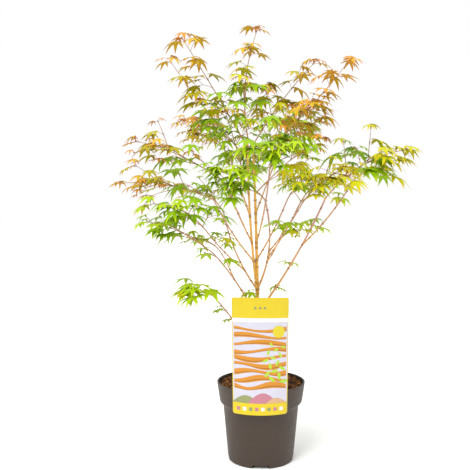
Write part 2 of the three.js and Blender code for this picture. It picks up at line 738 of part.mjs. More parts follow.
const limbs = new Map([["trunk", trunkLimb()]]);
for (const row of LIMBS) limbs.set(row.name, boughLimb(row, limbs.get(row.from)));
const allLimbs = [...limbs.values()];
for (const limb of allLimbs) limb.samples = limb.curve.getPoints(SAMPLES);
const plans = MASSES.map((row, index) => massPlan(row, index, limbs));
const grown = allLimbs.map((limb) => grownPiece(grownStick(limb, 0), limb.name));
const crown = { plans, limbs: allLimbs, grown };
for (const plan of plans) plan.samples = plan.stem.getPoints(SAMPLES);
for (const plan of plans) pruneTwigs(plan, crown);
for (const plan of plans) plan.samples = skeleton(plan);
for (const plan of plans) pruneLeaves(plan, crown);

add("pot", potSolid(), PLASTIC);
add("soil", soilSolid(), COMPOST);
add("label", labelSolid(), CARD);
add("trunk", trunkSolid(limbs.get("trunk")), BARK);
allLimbs.forEach((limb, i) => {
  if (i > 0) add(limb.name, limbSolid(limb, allLimbs.slice(0, i)), SHOOT);
});
for (const plan of plans) add(plan.name, massSolid(plan), LEAF);

export default plant;
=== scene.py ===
"""A young palmate maple with golden bark in a round nursery pot, with a printed plant
label hooked over the rim. Every size below is in millimetres, in the frame of the
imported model: +Z up, the origin under the middle of the pot, the label on the -Y side."""

import json
import math
from types import SimpleNamespace as Group

import bpy
import numpy as np
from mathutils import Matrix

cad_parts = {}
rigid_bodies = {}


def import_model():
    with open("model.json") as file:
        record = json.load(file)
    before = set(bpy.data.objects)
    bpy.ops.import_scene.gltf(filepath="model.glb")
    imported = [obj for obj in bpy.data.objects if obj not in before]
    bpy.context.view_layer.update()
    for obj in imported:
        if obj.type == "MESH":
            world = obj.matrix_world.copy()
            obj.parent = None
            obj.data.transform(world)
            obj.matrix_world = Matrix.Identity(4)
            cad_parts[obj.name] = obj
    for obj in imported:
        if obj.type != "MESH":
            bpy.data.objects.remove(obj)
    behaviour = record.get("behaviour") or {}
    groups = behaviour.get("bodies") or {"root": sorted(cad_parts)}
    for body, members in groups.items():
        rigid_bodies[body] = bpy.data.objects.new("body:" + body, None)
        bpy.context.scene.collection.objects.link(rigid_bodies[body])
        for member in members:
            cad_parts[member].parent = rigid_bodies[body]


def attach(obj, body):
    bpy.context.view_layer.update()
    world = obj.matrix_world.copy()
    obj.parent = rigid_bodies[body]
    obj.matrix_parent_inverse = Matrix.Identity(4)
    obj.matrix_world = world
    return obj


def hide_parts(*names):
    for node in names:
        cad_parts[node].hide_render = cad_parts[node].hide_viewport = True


bl_info = {
    "name": "Potted Japanese Maple",
    "version": (1, 0, 0),
    "blender": (4, 5, 0),
    "location": "View3D > Sidebar > Maple",
    "description": "Grows a young palmate maple in a nursery pot with its plant label",
    "category": "Object",
}

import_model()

MM = 0.001
BODY = "root"

# Sizes of the pot, the compost and the label
POT = Group(
    height=152.0, rim_radius=85.0, collar_height=38.0, collar_foot_radius=79.5, body_top_radius=73.0,
    step_height=6.0, base_radius=63.0, foot_round=7.0, wall=1.8, lip=3.4, lip_height=3.0, sides=144,
)
NOTCH = Group(count=4, width=31.0, height=6.5, depth=20.0, roof=1.8, slope=0.004)
# The side of the fill, as radius and height, follows the inside of the pot's wall
SOIL = Group(
    level=146.0, mound=3.0, edge=80.6, sides=160, rings=60,
    side=((80.2, 143.0), (76.9, 114.5), (70.3, 107.5), (60.6, 14.0), (0.0, 14.0)),
    rough=1.6, lumps=(1.3, 9.0), crumbs=(0.9, 4.0), calm_edge=4, calm_middle=9,
)
# A chip's taper is its place along it and its swell, ring by ring. clear is the share of the
# mound's area at the stem that stays free, tones are factors on the chips' colour, and the one
# after them sets how dark the painted shade in the chips' hollows is
CHIPS = Group(
    length=(4.0, 11.0), width=(0.3, 0.65), thick=(0.8, 2.2), lift=(0.2, 2.6), bend=0.08, inset=5,
    taper=((-0.5, 0.55), (0.0, 1.0), (0.5, 0.5)), uneven=(0.75, 1.25), turns=(np.pi, 0.5, 0.6),
    tones=(0.4, 0.85, 1.45), pits=0.3, clear=0.012,
)
GROUND = 149.3  # height of the trunk's flat cut
LABEL = Group(
    width=104.4, narrowing=0.04, height=216.4, foot=109.8, centre=-1.5, thickness=0.9, lean=3.0,
    corner=4.0, front=87.4, flatter=0.72, tongue_width=26.0, tongue_drop=5.3, tongue_end=-78.55,
    tongue_bend=1.4, tongue_over=0.3, tongue_into=0.04, columns=31, rows=40, corner_rows=7,
)

# The trunk and the boughs. Each limb leaves its parent at a share of the parent's length and
# runs to its tip with the given bow, the offset of its middle from the straight line; its
# radius goes from the first number to the second
TRUNK = Group(foot=(-6, 0, 138.3), tip=(-16, 14, 607), bow=(3, 0, 0), radii=(4.3, 1.7), flare=(3.2, 40.0))
LIMBS = [
    ("leader_left", "trunk", 0.39, (-26, -6, 621), (-5, 0, 0), 2.7, 1.5),
    ("bough_foot_left", "trunk", 0.13, (-91, -35, 322), (-6, 0, 14), 1.6, 1.2),
    ("bough_low_left", "trunk", 0.29, (-88, -45, 402), (0, 0, 8), 1.9, 1.3),
    ("bough_low_left_back", "bough_low_left", 0.55, (-84, 28, 405), (0, 4, 4), 1.3, 1.1),
    ("bough_right_long", "trunk", 0.31, (126, 35, 506), (4, 0, -8), 2.5, 1.6),
    ("bough_right_outer", "bough_right_long", 0.62, (181, 70, 535), (3, 0, -5), 1.6, 1.3),
    ("bough_left_fork", "trunk", 0.405, (-76, 84, 474), (-8, -6, -4), 1.9, 1.3),
    ("bough_left_front", "bough_left_fork", 0.27, (-97, -68, 442), (-4, -2, 0), 1.4, 1.2),
    ("bough_right_arch", "trunk", 0.41, (7, -84, 503), (15, 2, -4), 2.2, 1.3),
    ("bough_arch_front", "bough_right_arch", 0.4, (64, -96, 488), (2, -3, -3), 1.5, 1.3),
    ("bough_arch_low", "bough_right_arch", 0.34, (40, -66, 450), (2, 0, -3), 1.2, 1.0),
    ("bough_arch_back", "bough_right_arch", 0.46, (78, -12, 497), (2, 0, -2), 1.4, 1.2),
    ("bough_mid_left", "leader_left", 0.33, (-65, -40, 532), (-2, 0, 0), 1.7, 1.3),
    ("bough_left_high", "leader_left", 0.21, (-94, 50, 501), (-3, 0, -4), 1.6, 1.3),
    ("bough_back_left", "leader_left", 0.5, (-62, 62, 585), (0, 3, 0), 1.5, 1.2),
    ("bough_centre_right", "trunk", 0.53, (52, 84, 500), (2, 3, -3), 1.7, 1.3),
    ("bough_centre_front", "trunk", 0.6, (14, -104, 552), (3, -4, -2), 1.5, 1.2),
    ("bough_back", "trunk", 0.58, (-14, 104, 532), (0, 6, -2), 1.6, 1.3),
    ("bough_back_right", "trunk", 0.72, (34, 84, 594), (0, 5, 0), 1.4, 1.2),
]

# The masses of foliage: name, tip, bow, pairs, twigs, twig length, leaf length, how full it is,
# scale of the blades, tints of its oldest, middle and youngest sprays, slot. How full: up to 1,
# the share of its leaves that grow, because the photo shows sky between them; what is over 1 is
# the share of the finer spurs that grow as well
OLD_GOLD, DEEP = "green olive ochre", "olive ochre orange"
LEAFY, FRESH = "green green lime", "lime lime yellow"
MASSES = [
    ("top", (-7, 10, 828), (-14, 0, 0), 6, 2, 62, 34, 1.3, 1.12, "green yellow ochre", "olive"),
    ("upper_left", (-146, -38, 800), (4, -8, -4), 6, 2, 60, 36, 1.55, 1.22, OLD_GOLD, "olive"),
    ("upper_left_back", (-184, 60, 780), (0, 10, -6), 6, 2, 66, 36, 1.5, 1.18, OLD_GOLD, "orange"),
    ("upper_right", (106, 72, 774), (-4, 10, 6), 6, 2, 60, 36, 1.4, 1.12, "yellow olive ochre", "olive"),
    ("upper_right_long", (163, -24, 762), (6, -4, -6), 7, 3, 72, 36, 1.3, 1.12, DEEP, "orange"),
    ("mid_left", (-224, -86, 608), (0, 0, 12), 6, 4, 80, 38, 0.85, 0.92, OLD_GOLD, "orange"),
    ("back_left", (-138, 126, 668), (0, 0, 6), 5, 3, 70, 36, 1.3, 0.9, "yellow ochre ochre", "orange"),
    ("left_high", (-288, 88, 534), (0, 0, 14), 7, 4, 76, 40, 0.85, 0.88, OLD_GOLD, "yellow"),
    ("left_fork", (-130, 196, 520), (0, 0, 8), 5, 3, 70, 38, 0.85, 0.88, "green green olive", "green"),
    ("left_front", (-150, -170, 494), (0, 0, 8), 5, 3, 70, 38, 0.8, 0.88, LEAFY, "green"),
    ("low_left", (-208, -56, 462), (0, 0, 10), 6, 3, 60, 38, 0.9, 0.88, LEAFY, "lime"),
    ("low_left_back", (-128, 70, 424), (0, 0, 5), 3, 1, 40, 32, 1.2, 0.85, "lime lime lime", "lime"),
    ("foot_left", (-138, -56, 328), (0, 0, 5), 3, 1, 38, 36, 1.0, 0.96, FRESH, "lime"),
    ("centre_low", (-58, -196, 552), (0, -4, 6), 5, 3, 70, 38, 1.25, 1.06, LEAFY, "green"),
    ("arch_front", (100, -196, 540), (0, 0, 8), 5, 3, 70, 40, 0.85, 0.84, "lime yellow olive", "yellow"),
    ("arch_low", (64, -116, 448), (0, 0, 6), 3, 1, 40, 32, 0.9, 0.9, FRESH, "yellow"),
    ("arch_back", (148, -66, 560), (0, 0, 8), 5, 3, 66, 40, 0.85, 0.9, "green yellow olive", "yellow"),
    ("right_long", (276, 14, 598), (-6, 0, 16), 7, 4, 76, 42, 0.98, 1.12, "green yellow yellow", "yellow"),
    ("right_outer", (236, 130, 570), (0, 0, 6), 4, 2, 62, 40, 0.98, 1.06, "green green yellow", "green"),
    ("centre_right", (96, 186, 545), (0, 0, 8), 5, 3, 70, 38, 0.75, 0.98, "green lime yellow", "green"),
    ("centre_front", (22, -224, 592), (0, -4, 6), 5, 3, 70, 38, 1.4, 1.08, LEAFY, "green"),
    ("right_mid", (106, -64, 616), (0, 0, 6), 5, 3, 64, 36, 0.8, 0.92, "yellow olive orange", "orange"),
    ("back", (-26, 224, 592), (0, 4, 8), 5, 3, 70, 38, 1.2, 1.0, LEAFY, "green"),
    ("back_right", (70, 186, 676), (0, 4, 4), 5, 3, 66, 36, 1.0, 1.0, "green lime olive", "olive"),
    ("front_left", (-64, -134, 660), (0, 0, 8), 5, 3, 66, 36, 1.45, 1.08, "green green olive", "green"),
]
# A mass grows from the tip of the bough of its name, but these from a share of another limb
SEATS = {
    "top": ("leader_left", 1), "upper_left": ("leader_left", 0.93),
    "upper_left_back": ("leader_left", 0.86), "upper_right": ("trunk", 1),
    "upper_right_long": ("trunk", 0.94), "centre_low": ("bough_right_arch", 1), "right_mid": ("trunk", 0.8),
    "front_left": ("leader_left", 0.62),
}

# The rule by which a mass grows, the same as in the solids. The pairs from forward on are the
# least value and what a seeded draw adds to it at most
RULE = Group(
    stem_radius=1.3, tip_radius=0.5, twig_radius=0.75, first_node=0.16, last_node=0.97, turn=88.0,
    twig_angle=42.0, twig_lift=0.25, leaf_lift=0.4, twig_loss=0.45, twig_places=(0.5, 1.0), bow=0.05,
    leaf_loss=0.12, age_loss=0.4, petiole=0.55, small=0.72, jitter=16.0, tries=5, gap=0.3, twig_gap=2.4,
    heart=0.4, start=0.3, forward=(0.35, 0.5), rise=(0.12, 0.2), stalk=(0.8, 0.5), droop=(14.0, 28.0),
    leaf_size=(0.9, 0.2), twig_size=(0.85, 0.3),
)
# The lobes by which a leaf's reach is tested, as in the solids: direction and share of length
REACH_LOBES = [(-94, 0.68), (-45, 0.93), (0, 1.0), (45, 0.93), (94, 0.68)]
REACH_CURL = 0.16
SPACE_MARGIN, BARK_MARGIN = 1.5, 1.2
SAMPLES, TWIG_SAMPLES = 40, 6
# In a thin mass a leaf stays by chance: how full the mass is, times the first value less the
# leaf's height over or under the stem as a share of the second, in millimetres
LAYER = (1.3, 45.0)
# Finer twigs: spurs in the axils between the nodes of a shoot, with a pair of smaller leaves
# each, and a very young pair at every shoot's tip. Length and leaf_size are such pairs as well
FINE = Group(
    places=(0.26, 0.76), length=(12.0, 12.0), angle=52.0, lift=0.35, bow=0.06, radii=(0.45, 0.4), turn=0.5,
    twist=1.57, leaf=0.66, leaf_size=(0.8, 0.45), on_twigs=0.92, age=0.8,
)
YOUNG = Group(leaf=0.5, leaf_size=(0.8, 0.5), rise=0.4, turn=6.28, age=0.6)
# A leaf's seven lobes: direction in degrees and reach as a share of the leaf's length
LEAF_LOBES = [(-128, 0.36), (-84, 0.7), (-41, 0.93), (0, 1.0), (41, 0.93), (84, 0.7), (128, 0.36)]
# A leaf's blade, in shares of its length: direction and reach of the cuts at its heel, where
# each lobe is widest, where it tapers and to what share, and the two points on its midrib; how
# the cuts between lobes and the lobes' widths grow with their reach; how high the cuts stand
BLADE = Group(
    heel=(34, 0.16), widest=0.56, taper=(0.79, 0.5), ribs=(0.42, 0.7), cut=(0.35, 0.65), wide=(0.55, 0.45),
    rise=0.16,
)
# How a blade's size follows its age, and its fold, curl and sag follow chance: the least, and
# in the pairs what age or chance adds at most
BLADE_SIZE, BLADE_FOLD, BLADE_CURL, BLADE_SAG = (0.92, 0.14), 0.5, (0.45, 1.1), 0.12
# A spray takes its mass's next tint at these shares of its youth, sooner or later by chance
TINT_STEPS, TINT_CHANCE = (0.36, 0.72), 0.3
# Small sprigs on the bare wood: their common sizes, and for each its limb, share of it, turn
# about it, length of shoot and leaf
SPRIG = Group(angle=0.9, places=(0.6, 1.0), leaf_loss=0.15, age=0.9, age_loss=0.5, blade=1.25, seed=700)
SPRIGS = [
    ("bough_right_long", 0.44, 200, 9, 17),
    ("bough_right_long", 0.22, 160, 12, 17),
    ("bough_right_long", 0.74, 170, 24, 27),
    ("trunk", 0.372, 180, 16, 20),
    ("bough_foot_left", 0.62, 20, 16, 15),
    ("bough_foot_left", 0.44, 10, 14, 14),
    ("bough_low_left", 0.93, 15, 26, 25),
    ("bough_low_left", 0.78, 195, 22, 22),
    ("bough_left_front", 0.62, 190, 22, 24),
    ("bough_right_outer", 0.72, 190, 18, 22),
    ("bough_left_fork", 0.84, 190, 24, 26),
]
# The bark's relief: step between its rows, half widths of the swelling at a node and a fork, how
# much more a fork swells, depth, offset and half width of the groove under a node, share and fall
# of the swelling at a bough's foot, share, size and stretch of the flutes, share, fall, count and
# turn of the trunk's buttresses, room between a node and a fork, radius of a limb with more sides
RELIEF = Group(
    step=1.6, node=1.9, fork=3.2, fork_more=1.1, groove=(0.16, 1.1, 0.7), foot=(0.55, 5.0),
    flutes=(0.055, 1.6, 14.0), buttress=(0.16, 9.0, 4, 0.8), clear=12.0, thick=2.4,
)
# How far the bark's colour has turned at a limb's foot, and how much further it turns to the tip
BOUGH_AGE, LEADER_AGE = (0.25, 0.9), (0.0, 0.35)
# Half width and depth of the dark rings at the nodes, the forks and a bough's foot
DARK = Group(node=(1.2, 0.7), fork=(3.2, 0.6), foot=(4.0, 0.55))
# Buds and leaf stalks: radii from foot to tip. A bud at a node also has its seat as a share of
# the limb's radius, and how much it lies along the limb; a stalk has its bow and how far it runs
# under the blade, as shares of its own length and the leaf's
BUD = Group(radii=(0.5, 0.85, 0.75, 0.08), length=2.9, seat=0.75, along=1.3)
TIP_BUD = Group(radii=(0.6, 0.95, 0.8, 0.1), length=3.2)
STALK = Group(radii=(0.5, 0.34, 0.32, 0.36), bow=0.05, under=0.02)
# The swellings at the nodes of a stem and of a twig: rings along it, half width, size
STEM_KNOTS, TWIG_KNOTS = (90, 0.009, 0.5), (13, 0.05, 0.45)

# The lamps: name, place in metres, width, share of the key light's power. All look at AIM
AIM = (0.0, 0.0, 0.45)
LAMPS = (
    ("Key softbox", (-1.3, -1.7, 1.9), 1.4, 1.0),
    ("Fill softbox", (1.6, -1.1, 1.2), 1.6, 0.4),
    ("Top softbox", (0.1, 0.5, 2.4), 1.6, 0.7),
)
SUN = Group(strength=1.8, width=25, turn=(34, -20, 0))
CAMERA = Group(place=(0.0, -1.4, 0.523), turn=(math.pi / 2 - 0.0629, 0.0, 0.0359), lens=55.99)
FLOOR_RADIUS = 9000


def linear(code):
    """An sRGB hex value as linear light: each channel c becomes c/12.92 below 0.04045,
    and ((c + 0.055) / 1.055) to the power 2.4 above it."""
    channels = [int(code[i : i + 2], 16) / 255 for i in (1, 3, 5)]
    return tuple(c / 12.92 if c <= 0.04045 else ((c + 0.055) / 1.055) ** 2.4 for c in channels)


# Leaf tints: the blade's colour, and the colour towards the tips of its lobes
TINTS = {
    "green": ("#84a806", "#9cb40a"),
    "lime": ("#a2be0a", "#b8c816"),
    "yellow": ("#bab80a", "#c8b01c"),
    "olive": ("#a89e08", "#b8901a"),
    "ochre": ("#c4a01e", "#c48626"),
    "orange": ("#cc982a", "#c67a2a"),
    "flush": ("#c4882c", "#b0682c"),
}
# The print's inks, of which three follow the label's settings, and their slots
INKS = {
    "white": "#d6d6d6", "pale ground": None, "gold": None, "amber": None, "leaf green": "#9cc02c",
    "grey green": "#868a58", "rose": "#b0707e", "yellow": "#c8b81c", "sand": "#c09a70",
}
WHITE, PALE, GOLD, AMBER, LEAF, GREY, ROSE, YELLOW, SAND = range(9)
# The print, in millimetres from the card's sides, foot or head. Where two numbers are given for
# things in a row, they are the first one's and the step to the next
STRIP = Group(inset=0.5, foot=45.0, head=37.5)
PANEL = Group(inset=1.6, foot=22.0, head=45.2)
DIAMONDS = Group(count=3, across=(-9.0, 9.0), head=19.0, radius=3.0)
BARS = Group(
    count=9, inset=3.5, rise=3.6, level=(53.0, 13.2), width=(8.8, -0.3), length=(92.0, 7.0), phase=0.21,
    line_drop=0.3, line_width=0.2,
)
OVALS = Group(
    count=15, inset=8.0, reach=36.0, strewn=0.618, level=(62.0, 4.9), radius=(7.4, -0.2), squash=0.42,
    turn=2.4,
)
DISC = Group(inset=18.0, level=154.0, radius=11.0)
# Each hill's ink, its middle and its half width as shares of the card's half width, its height
HILLS = ((ROSE, 0.1, 0.56, 19.0), (GREY, -0.52, 0.5, 14.5), (SAND, 0.58, 0.38, 10.0))
SQUARES = Group(count=8, across=(8.0, 11.6), size=6.5, foot=8.0)
# How far each layer of ink lies off the card
INK = Group(ground=0.12, bars=0.2, lines=0.25, ovals=0.32, disc=0.42, hills=(0.2, 0.03))


# What a user would change
def a_number(name, description, default, **more):
    """A property that holds a number from 0 up."""
    return bpy.props.FloatProperty(name=name, description=description, default=default, min=0.0, **more)


def a_length(name, description, millimetres):
    """A property that holds a length, in metres as Blender keeps it."""
    return a_number(name, description, millimetres * MM, unit="LENGTH", precision=4)


def a_share(name, description, default):
    """A property that holds a share from 0 to 1."""
    return a_number(name, description, default, max=1.0, subtype="FACTOR")


def a_colour(name, description, code):
    """A property that holds a linear colour."""
    return bpy.props.FloatVectorProperty(
        name=name, description=description, default=linear(code), subtype="COLOR", size=3, min=0.0, max=1.0
    )


class MaplePotSettings(bpy.types.PropertyGroup):
    """Sizes and colours of the pot and its compost"""

    height: a_length("Height", "From the underside to the lip", POT.height)
    rim_radius: a_length("Rim radius", "Outside radius of the lip", POT.rim_radius)
    base_radius: a_length("Base radius", "Outside radius of the foot", POT.base_radius)
    plastic: a_colour("Plastic", "Colour of the moulded pot", "#37291e")
    chips: bpy.props.IntProperty(name="Chips", description="Bark chips on the compost", default=900, min=0)
    compost: a_colour("Compost", "Colour of the fine compost", "#30190b")
    chip: a_colour("Chip", "Colour of the bark chips", "#865426")


class MapleLabelSettings(bpy.types.PropertyGroup):
    """Sizes and colours of the plant label"""

    width: a_length("Width", "Width of the card", LABEL.width)
    height: a_length("Height", "Height of the card", LABEL.height)
    header: a_colour("Header", "Colour of the header and the footer", "#ccb404")
    picture: a_colour("Picture ground", "Pale ground of the printed picture", "#bebbc8")
    bars: a_colour("Bars", "Gold of the printed wavy bars", "#c07c10")


class MapleBarkSettings(bpy.types.PropertyGroup):
    """Relief and colours of the bark"""

    node_spacing: a_length("Node spacing", "Between the rings on a limb", 44.0)
    swelling: a_share("Node swelling", "How much a limb thickens at a ring", 0.2)
    gold: a_colour("Gold", "Bark of the trunk and the leader", "#f0b652")
    salmon: a_colour("Salmon", "Bark of the side boughs towards their tips", "#cc9882")
    ring: a_colour("Ring", "Dark rings at the nodes and forks", "#6e4224")


class MapleLeafSettings(bpy.types.PropertyGroup):
    """Shape and colours of the leaves and twigs"""

    size: a_number("Leaf size", "Scale of every blade", 1.0, max=2.0)
    fold: a_share("Fold", "How far each lobe is folded up along its midrib", 0.34)
    curl: a_share("Curl", "How far the lobes' tips hang, as a share of the leaf's length", 0.4)
    lift: a_share("Lift", "How much of a blade's droop is taken back at its stalk", 0.65)
    twig: a_colour("Twig", "Bark of the leafy twigs", "#c0905a")
    stalk: a_colour("Stalk", "Colour of the leaf stalks", "#be6e4a")


class MapleStageSettings(bpy.types.PropertyGroup):
    """Floor, lights and camera"""

    floor: a_colour("Floor", "Colour of the floor", "#f8f8f8")
    sky: a_number("Fill light", "Strength of the light from all round", 1.0)
    key: a_number("Key light", "Power of the large lamp in front", 9.0, unit="POWER")


# Vectors and curves
UP = np.array((0.0, 0.0, 1.0))
ACROSS = np.array((1.0, 0.0, 0.0))
AHEAD = np.array((0.0, 1.0, 0.0))
OPPOSITE = (0, math.pi)
UPRIGHT = 0.15  # a stem with less lean than this, as the sine of its angle, counts as upright


def unit(vectors):
    """Each vector divided by its length."""
    return vectors / np.linalg.norm(vectors, axis=-1, keepdims=True)


def circle(sides):
    """Even angles round a full turn."""
    return np.linspace(0, 2 * np.pi, sides, endpoint=False)


def turned(vector, axis, angle):
    """A vector turned about a unit axis: v cos a + (axis x v) sin a + axis (axis . v)(1 - cos a)."""
    along = axis * np.dot(axis, vector) * (1 - math.cos(angle))
    return vector * math.cos(angle) + np.cross(axis, vector) * math.sin(angle) + along


def seeded(seed):
    """Park-Miller numbers from 0 to 1: the state is multiplied by 16807 modulo 2^31 - 1."""
    state = (seed * 7919 + 12345) % 2147483647

    def draw():
        nonlocal state
        state = state * 16807 % 2147483647
        return state / 2147483647

    return draw


class Bend:
    """A quadratic curve from foot to tip whose middle stands off the straight line by the bow."""

    def __init__(self, foot, tip, bow=0.0):
        self.foot, self.tip = np.asarray(foot, float), np.asarray(tip, float)
        self.control = (self.foot + self.tip) / 2 + 2 * np.asarray(bow, float)

    def point(self, share):
        """(1 - t)^2 foot + 2 t (1 - t) control + t^2 tip."""
        t = np.asarray(share, float)[..., None]
        return (1 - t) ** 2 * self.foot + 2 * t * (1 - t) * self.control + t * t * self.tip

    def points(self, parts, start=0.0):
        """The points that divide the curve, from a share on, into a number of parts."""
        return self.point(np.linspace(start, 1, parts + 1))

    def tangent(self, share):
        """The unit vector along (1 - t)(control - foot) + t (tip - control)."""
        t = np.asarray(share, float)[..., None]
        return unit((1 - t) * (self.control - self.foot) + t * (self.tip - self.control))

    def after(self, start):
        """The part of the curve from a share on: its control is (1 - start) control + start tip."""
        part = Bend(self.point(start), self.tip)
        part.control = (1 - start) * self.control + start * self.tip
        return part

    def length(self):
        """The sum of 64 chords."""
        return float(np.linalg.norm(np.diff(self.points(64), axis=0), axis=1).sum())


def rounded(corners, radii, steps=4):
    """A line through corners whose bends are turned into arcs: each arc starts and ends at
    the given distance from its corner and is the quadratic curve that the corner controls."""
    corners = np.asarray(corners, float)
    line = [corners[0]]
    for before, corner, after, cut in zip(corners[:-2], corners[1:-1], corners[2:], radii):
        to_before, to_after = before - corner, after - corner
        reach = min(cut, 0.48 * np.linalg.norm(to_before), 0.48 * np.linalg.norm(to_after))
        arc = Bend(corner + unit(to_before) * reach, corner + unit(to_after) * reach)
        arc.control = corner
        line.extend(arc.points(steps))
    return np.array([*line, corners[-1]])


def divided(line, step):
    """The line with points added so that none of its parts is longer than the step."""
    parts = [line[:1]]
    for start, end in zip(line[:-1], line[1:]):
        count = max(1, math.ceil(np.linalg.norm(end - start) / step))
        parts.append(start + (end - start) * np.linspace(0, 1, count + 1)[1:, None])
    return np.concatenate(parts)


def rumple(points, size, seed):
    """A soft random height from -1 to 1 at each point: the mean of seven sine waves with
    seeded directions and phases and wavelengths around the given size."""
    dice = np.random.default_rng(seed)
    total = np.zeros(points.shape[:-1])
    for _ in range(7):
        way = unit(dice.normal(size=3)) * 2 * np.pi / (size * dice.uniform(0.6, 1.5))
        total += np.sin(points @ way + dice.uniform(0, 2 * np.pi))
    return total / 7


def bump(shares, place, width):
    """A soft bump of height 1: exp(-((t - place) / width)^2)."""
    return np.exp(-(((shares - place) / width) ** 2))


def knotted(radii, shares, where, width, rise):
    """Radii with a soft swelling at each place: r (1 + rise bump)."""
    for place in where:
        radii = radii * (1 + rise * bump(shares, place, width))
    return radii


# Meshes
def grid_faces(rows, columns, wrap=False):
    """Quads between the points of a grid, row by row. With wrap the last column joins the first."""
    i, k = np.meshgrid(np.arange(rows - 1), np.arange(columns if wrap else columns - 1), indexing="ij")
    a = i * columns + k
    b = i * columns + (k + 1) % columns
    return np.stack([a, a + columns, b + columns, b], axis=-1).reshape(-1, 4)


def fan(centre, first, sides):
    """Triangles from a centre point to the sides of a ring of points that starts at first."""
    k = np.arange(sides)
    return np.stack([np.full(sides, centre), first + k, first + (k + 1) % sides], axis=1)


def flipped(faces):
    """The same faces, turned inside out."""
    return faces[:, ::-1]


def copies(faces, count, step):
    """The faces of one form for each of its copies, which have step points each."""
    return (faces[None] + (np.arange(count) * step)[:, None, None]).reshape(-1, faces.shape[1])


class Shape:
    """Points and faces that are gathered as whole arrays and become one mesh."""

    def __init__(self):
        self.points, self.faces, self.slots, self.values = [], [], [], {}
        self.count = 0

    def add(self, points, *faces, slots=0, **values):
        """Adds points (n, 3), arrays of faces (m, 3 or 4) that number them, the material slot
        of each array's faces, and values at the points."""
        points = np.reshape(points, (-1, 3))
        self.points.append(points)
        slots = slots if isinstance(slots, tuple) else (slots,) * len(faces)
        for some, slot in zip(faces, slots):
            self.faces.append(some + self.count)
            self.slots.append(np.broadcast_to(slot, len(some)).astype(np.int32))
        for key, value in values.items():
            full = value if np.ndim(value) else np.full(len(points), value)
            self.values.setdefault(key, []).append(full)
        self.count += len(points)

    def piece(self, name, materials, smooth=True):
        """Makes the mesh object. The values become attributes, but where the value named
        crease is above 0 at both ends of an edge, the edge is kept sharp."""
        mesh = bpy.data.meshes.new(name)
        faces = [face for some in self.faces for face in some.tolist()]
        mesh.from_pydata(np.concatenate(self.points) * MM, [], faces)
        mesh.polygons.foreach_set("material_index", np.concatenate(self.slots))
        mesh.polygons.foreach_set("use_smooth", np.full(len(faces), smooth))
        for material in materials:
            mesh.materials.append(material)
        for key, parts in sorted(self.values.items()):
            data = np.concatenate(parts).astype(np.float32)
            kind, domain, field = "FLOAT", "POINT", "value"
            if key == "crease":
                ends = np.zeros(len(mesh.edges) * 2, np.int32)
                mesh.edges.foreach_get("vertices", ends)
                data = (data[ends.reshape(-1, 2)] > 0).all(axis=1)
                key, kind, domain = "sharp_edge", "BOOLEAN", "EDGE"
            elif data.ndim == 2:
                kind, field = "FLOAT_VECTOR", "vector"
            mesh.attributes.new(key, kind, domain).data.foreach_set(field, data.ravel())
        if mesh.validate():
            raise RuntimeError(f"{name}: the mesh had faces that had to be taken out")
        thing = bpy.data.objects.new(name, mesh)
        bpy.context.scene.collection.objects.link(thing)
        return thing


def add_sticks(shape, curves, radii, sides, slot=0, **values):
    """Adds round sticks of like radii along quadratic curves, all at once. With centre(t) the
    curve's point, a ring's point is centre + r (cos a side + sin a lift), where side is square
    to the curve and to a fixed direction, and lift to both. A point in the middle closes each
    end. radii are (rings) or (rings, sides). A value may be a function of the share of the
    length. Each point's place on the bark, in millimetres, is (r cos a, r sin a, t length)."""
    if not curves:
        return
    foot, control, tip = (
        np.array([getattr(curve, end) for curve in curves])[:, None] for end in ("foot", "control", "tip")
    )
    radii = np.reshape(radii, (len(radii), -1)) * np.ones(sides)
    rings, count = len(radii), len(curves)
    t = np.linspace(0, 1, rings)[:, None]
    centre = (1 - t) ** 2 * foot + 2 * t * (1 - t) * control + t * t * tip
    along = unit((1 - t) * (control - foot) + t * (tip - control))
    steep = np.abs(unit(tip - foot)[..., 1:2]) > 0.8
    side = unit(np.cross(along, np.where(steep, ACROSS, AHEAD)))
    lift = np.cross(side, along)
    a = circle(sides)
    spoke = np.cos(a)[:, None] * side[:, :, None] + np.sin(a)[:, None] * lift[:, :, None]
    rim = centre[:, :, None] + radii[..., None] * spoke
    points = np.concatenate([rim.reshape(count, -1, 3), foot, tip], axis=1)
    last = (rings - 1) * sides
    caps = np.concatenate([fan(last + sides, 0, sides), fan(last + sides + 1, last, sides)[:, [0, 2, 1]]])
    mean = radii.mean(axis=1)[:, None]
    skin = np.stack(np.broadcast_arrays(mean * np.cos(a), mean * np.sin(a), t), axis=-1)
    skin = np.concatenate([skin.reshape(-1, 3), [(0, 0, 0), UP]])
    length = np.linalg.norm(tip - foot, axis=2)
    place = skin[None] * np.stack([length**0, length**0, length], axis=-1)
    share = np.tile(skin[:, 2], count)
    step = len(skin)
    shape.add(
        points,
        copies(grid_faces(rings, sides, True), count, step),
        copies(caps, count, step),
        slots=slot,
        bark_place=place.reshape(-1, 3),
        **{key: value(share) if callable(value) else value for key, value in values.items()},
    )


# Materials
def put(tree, kind, *inputs, **more):
    """Adds a shader node of a kind. Inputs go to its sockets in use in their order. More names
    a setting, or, with a capital and _ for a space, a socket. A socket takes a number, a colour
    as three numbers, an output, or another node, whose first output in use is linked."""
    node = tree.nodes.new("ShaderNode" + kind)
    for name in [name for name in more if name[0].islower()]:
        setattr(node, name, more.pop(name))
    sockets = [socket for socket in node.inputs if socket.enabled]
    wanted = [(node.inputs[name.replace("_", " ")], value) for name, value in more.items()]
    for socket, value in [*zip(sockets, inputs), *wanted]:
        if isinstance(value, bpy.types.Node):
            value = next(output for output in value.outputs if output.enabled)
        if isinstance(value, bpy.types.NodeSocket):
            tree.links.new(value, socket)
        else:
            socket.default_value = (*value, 1.0) if socket.type == "RGBA" else value
    return node


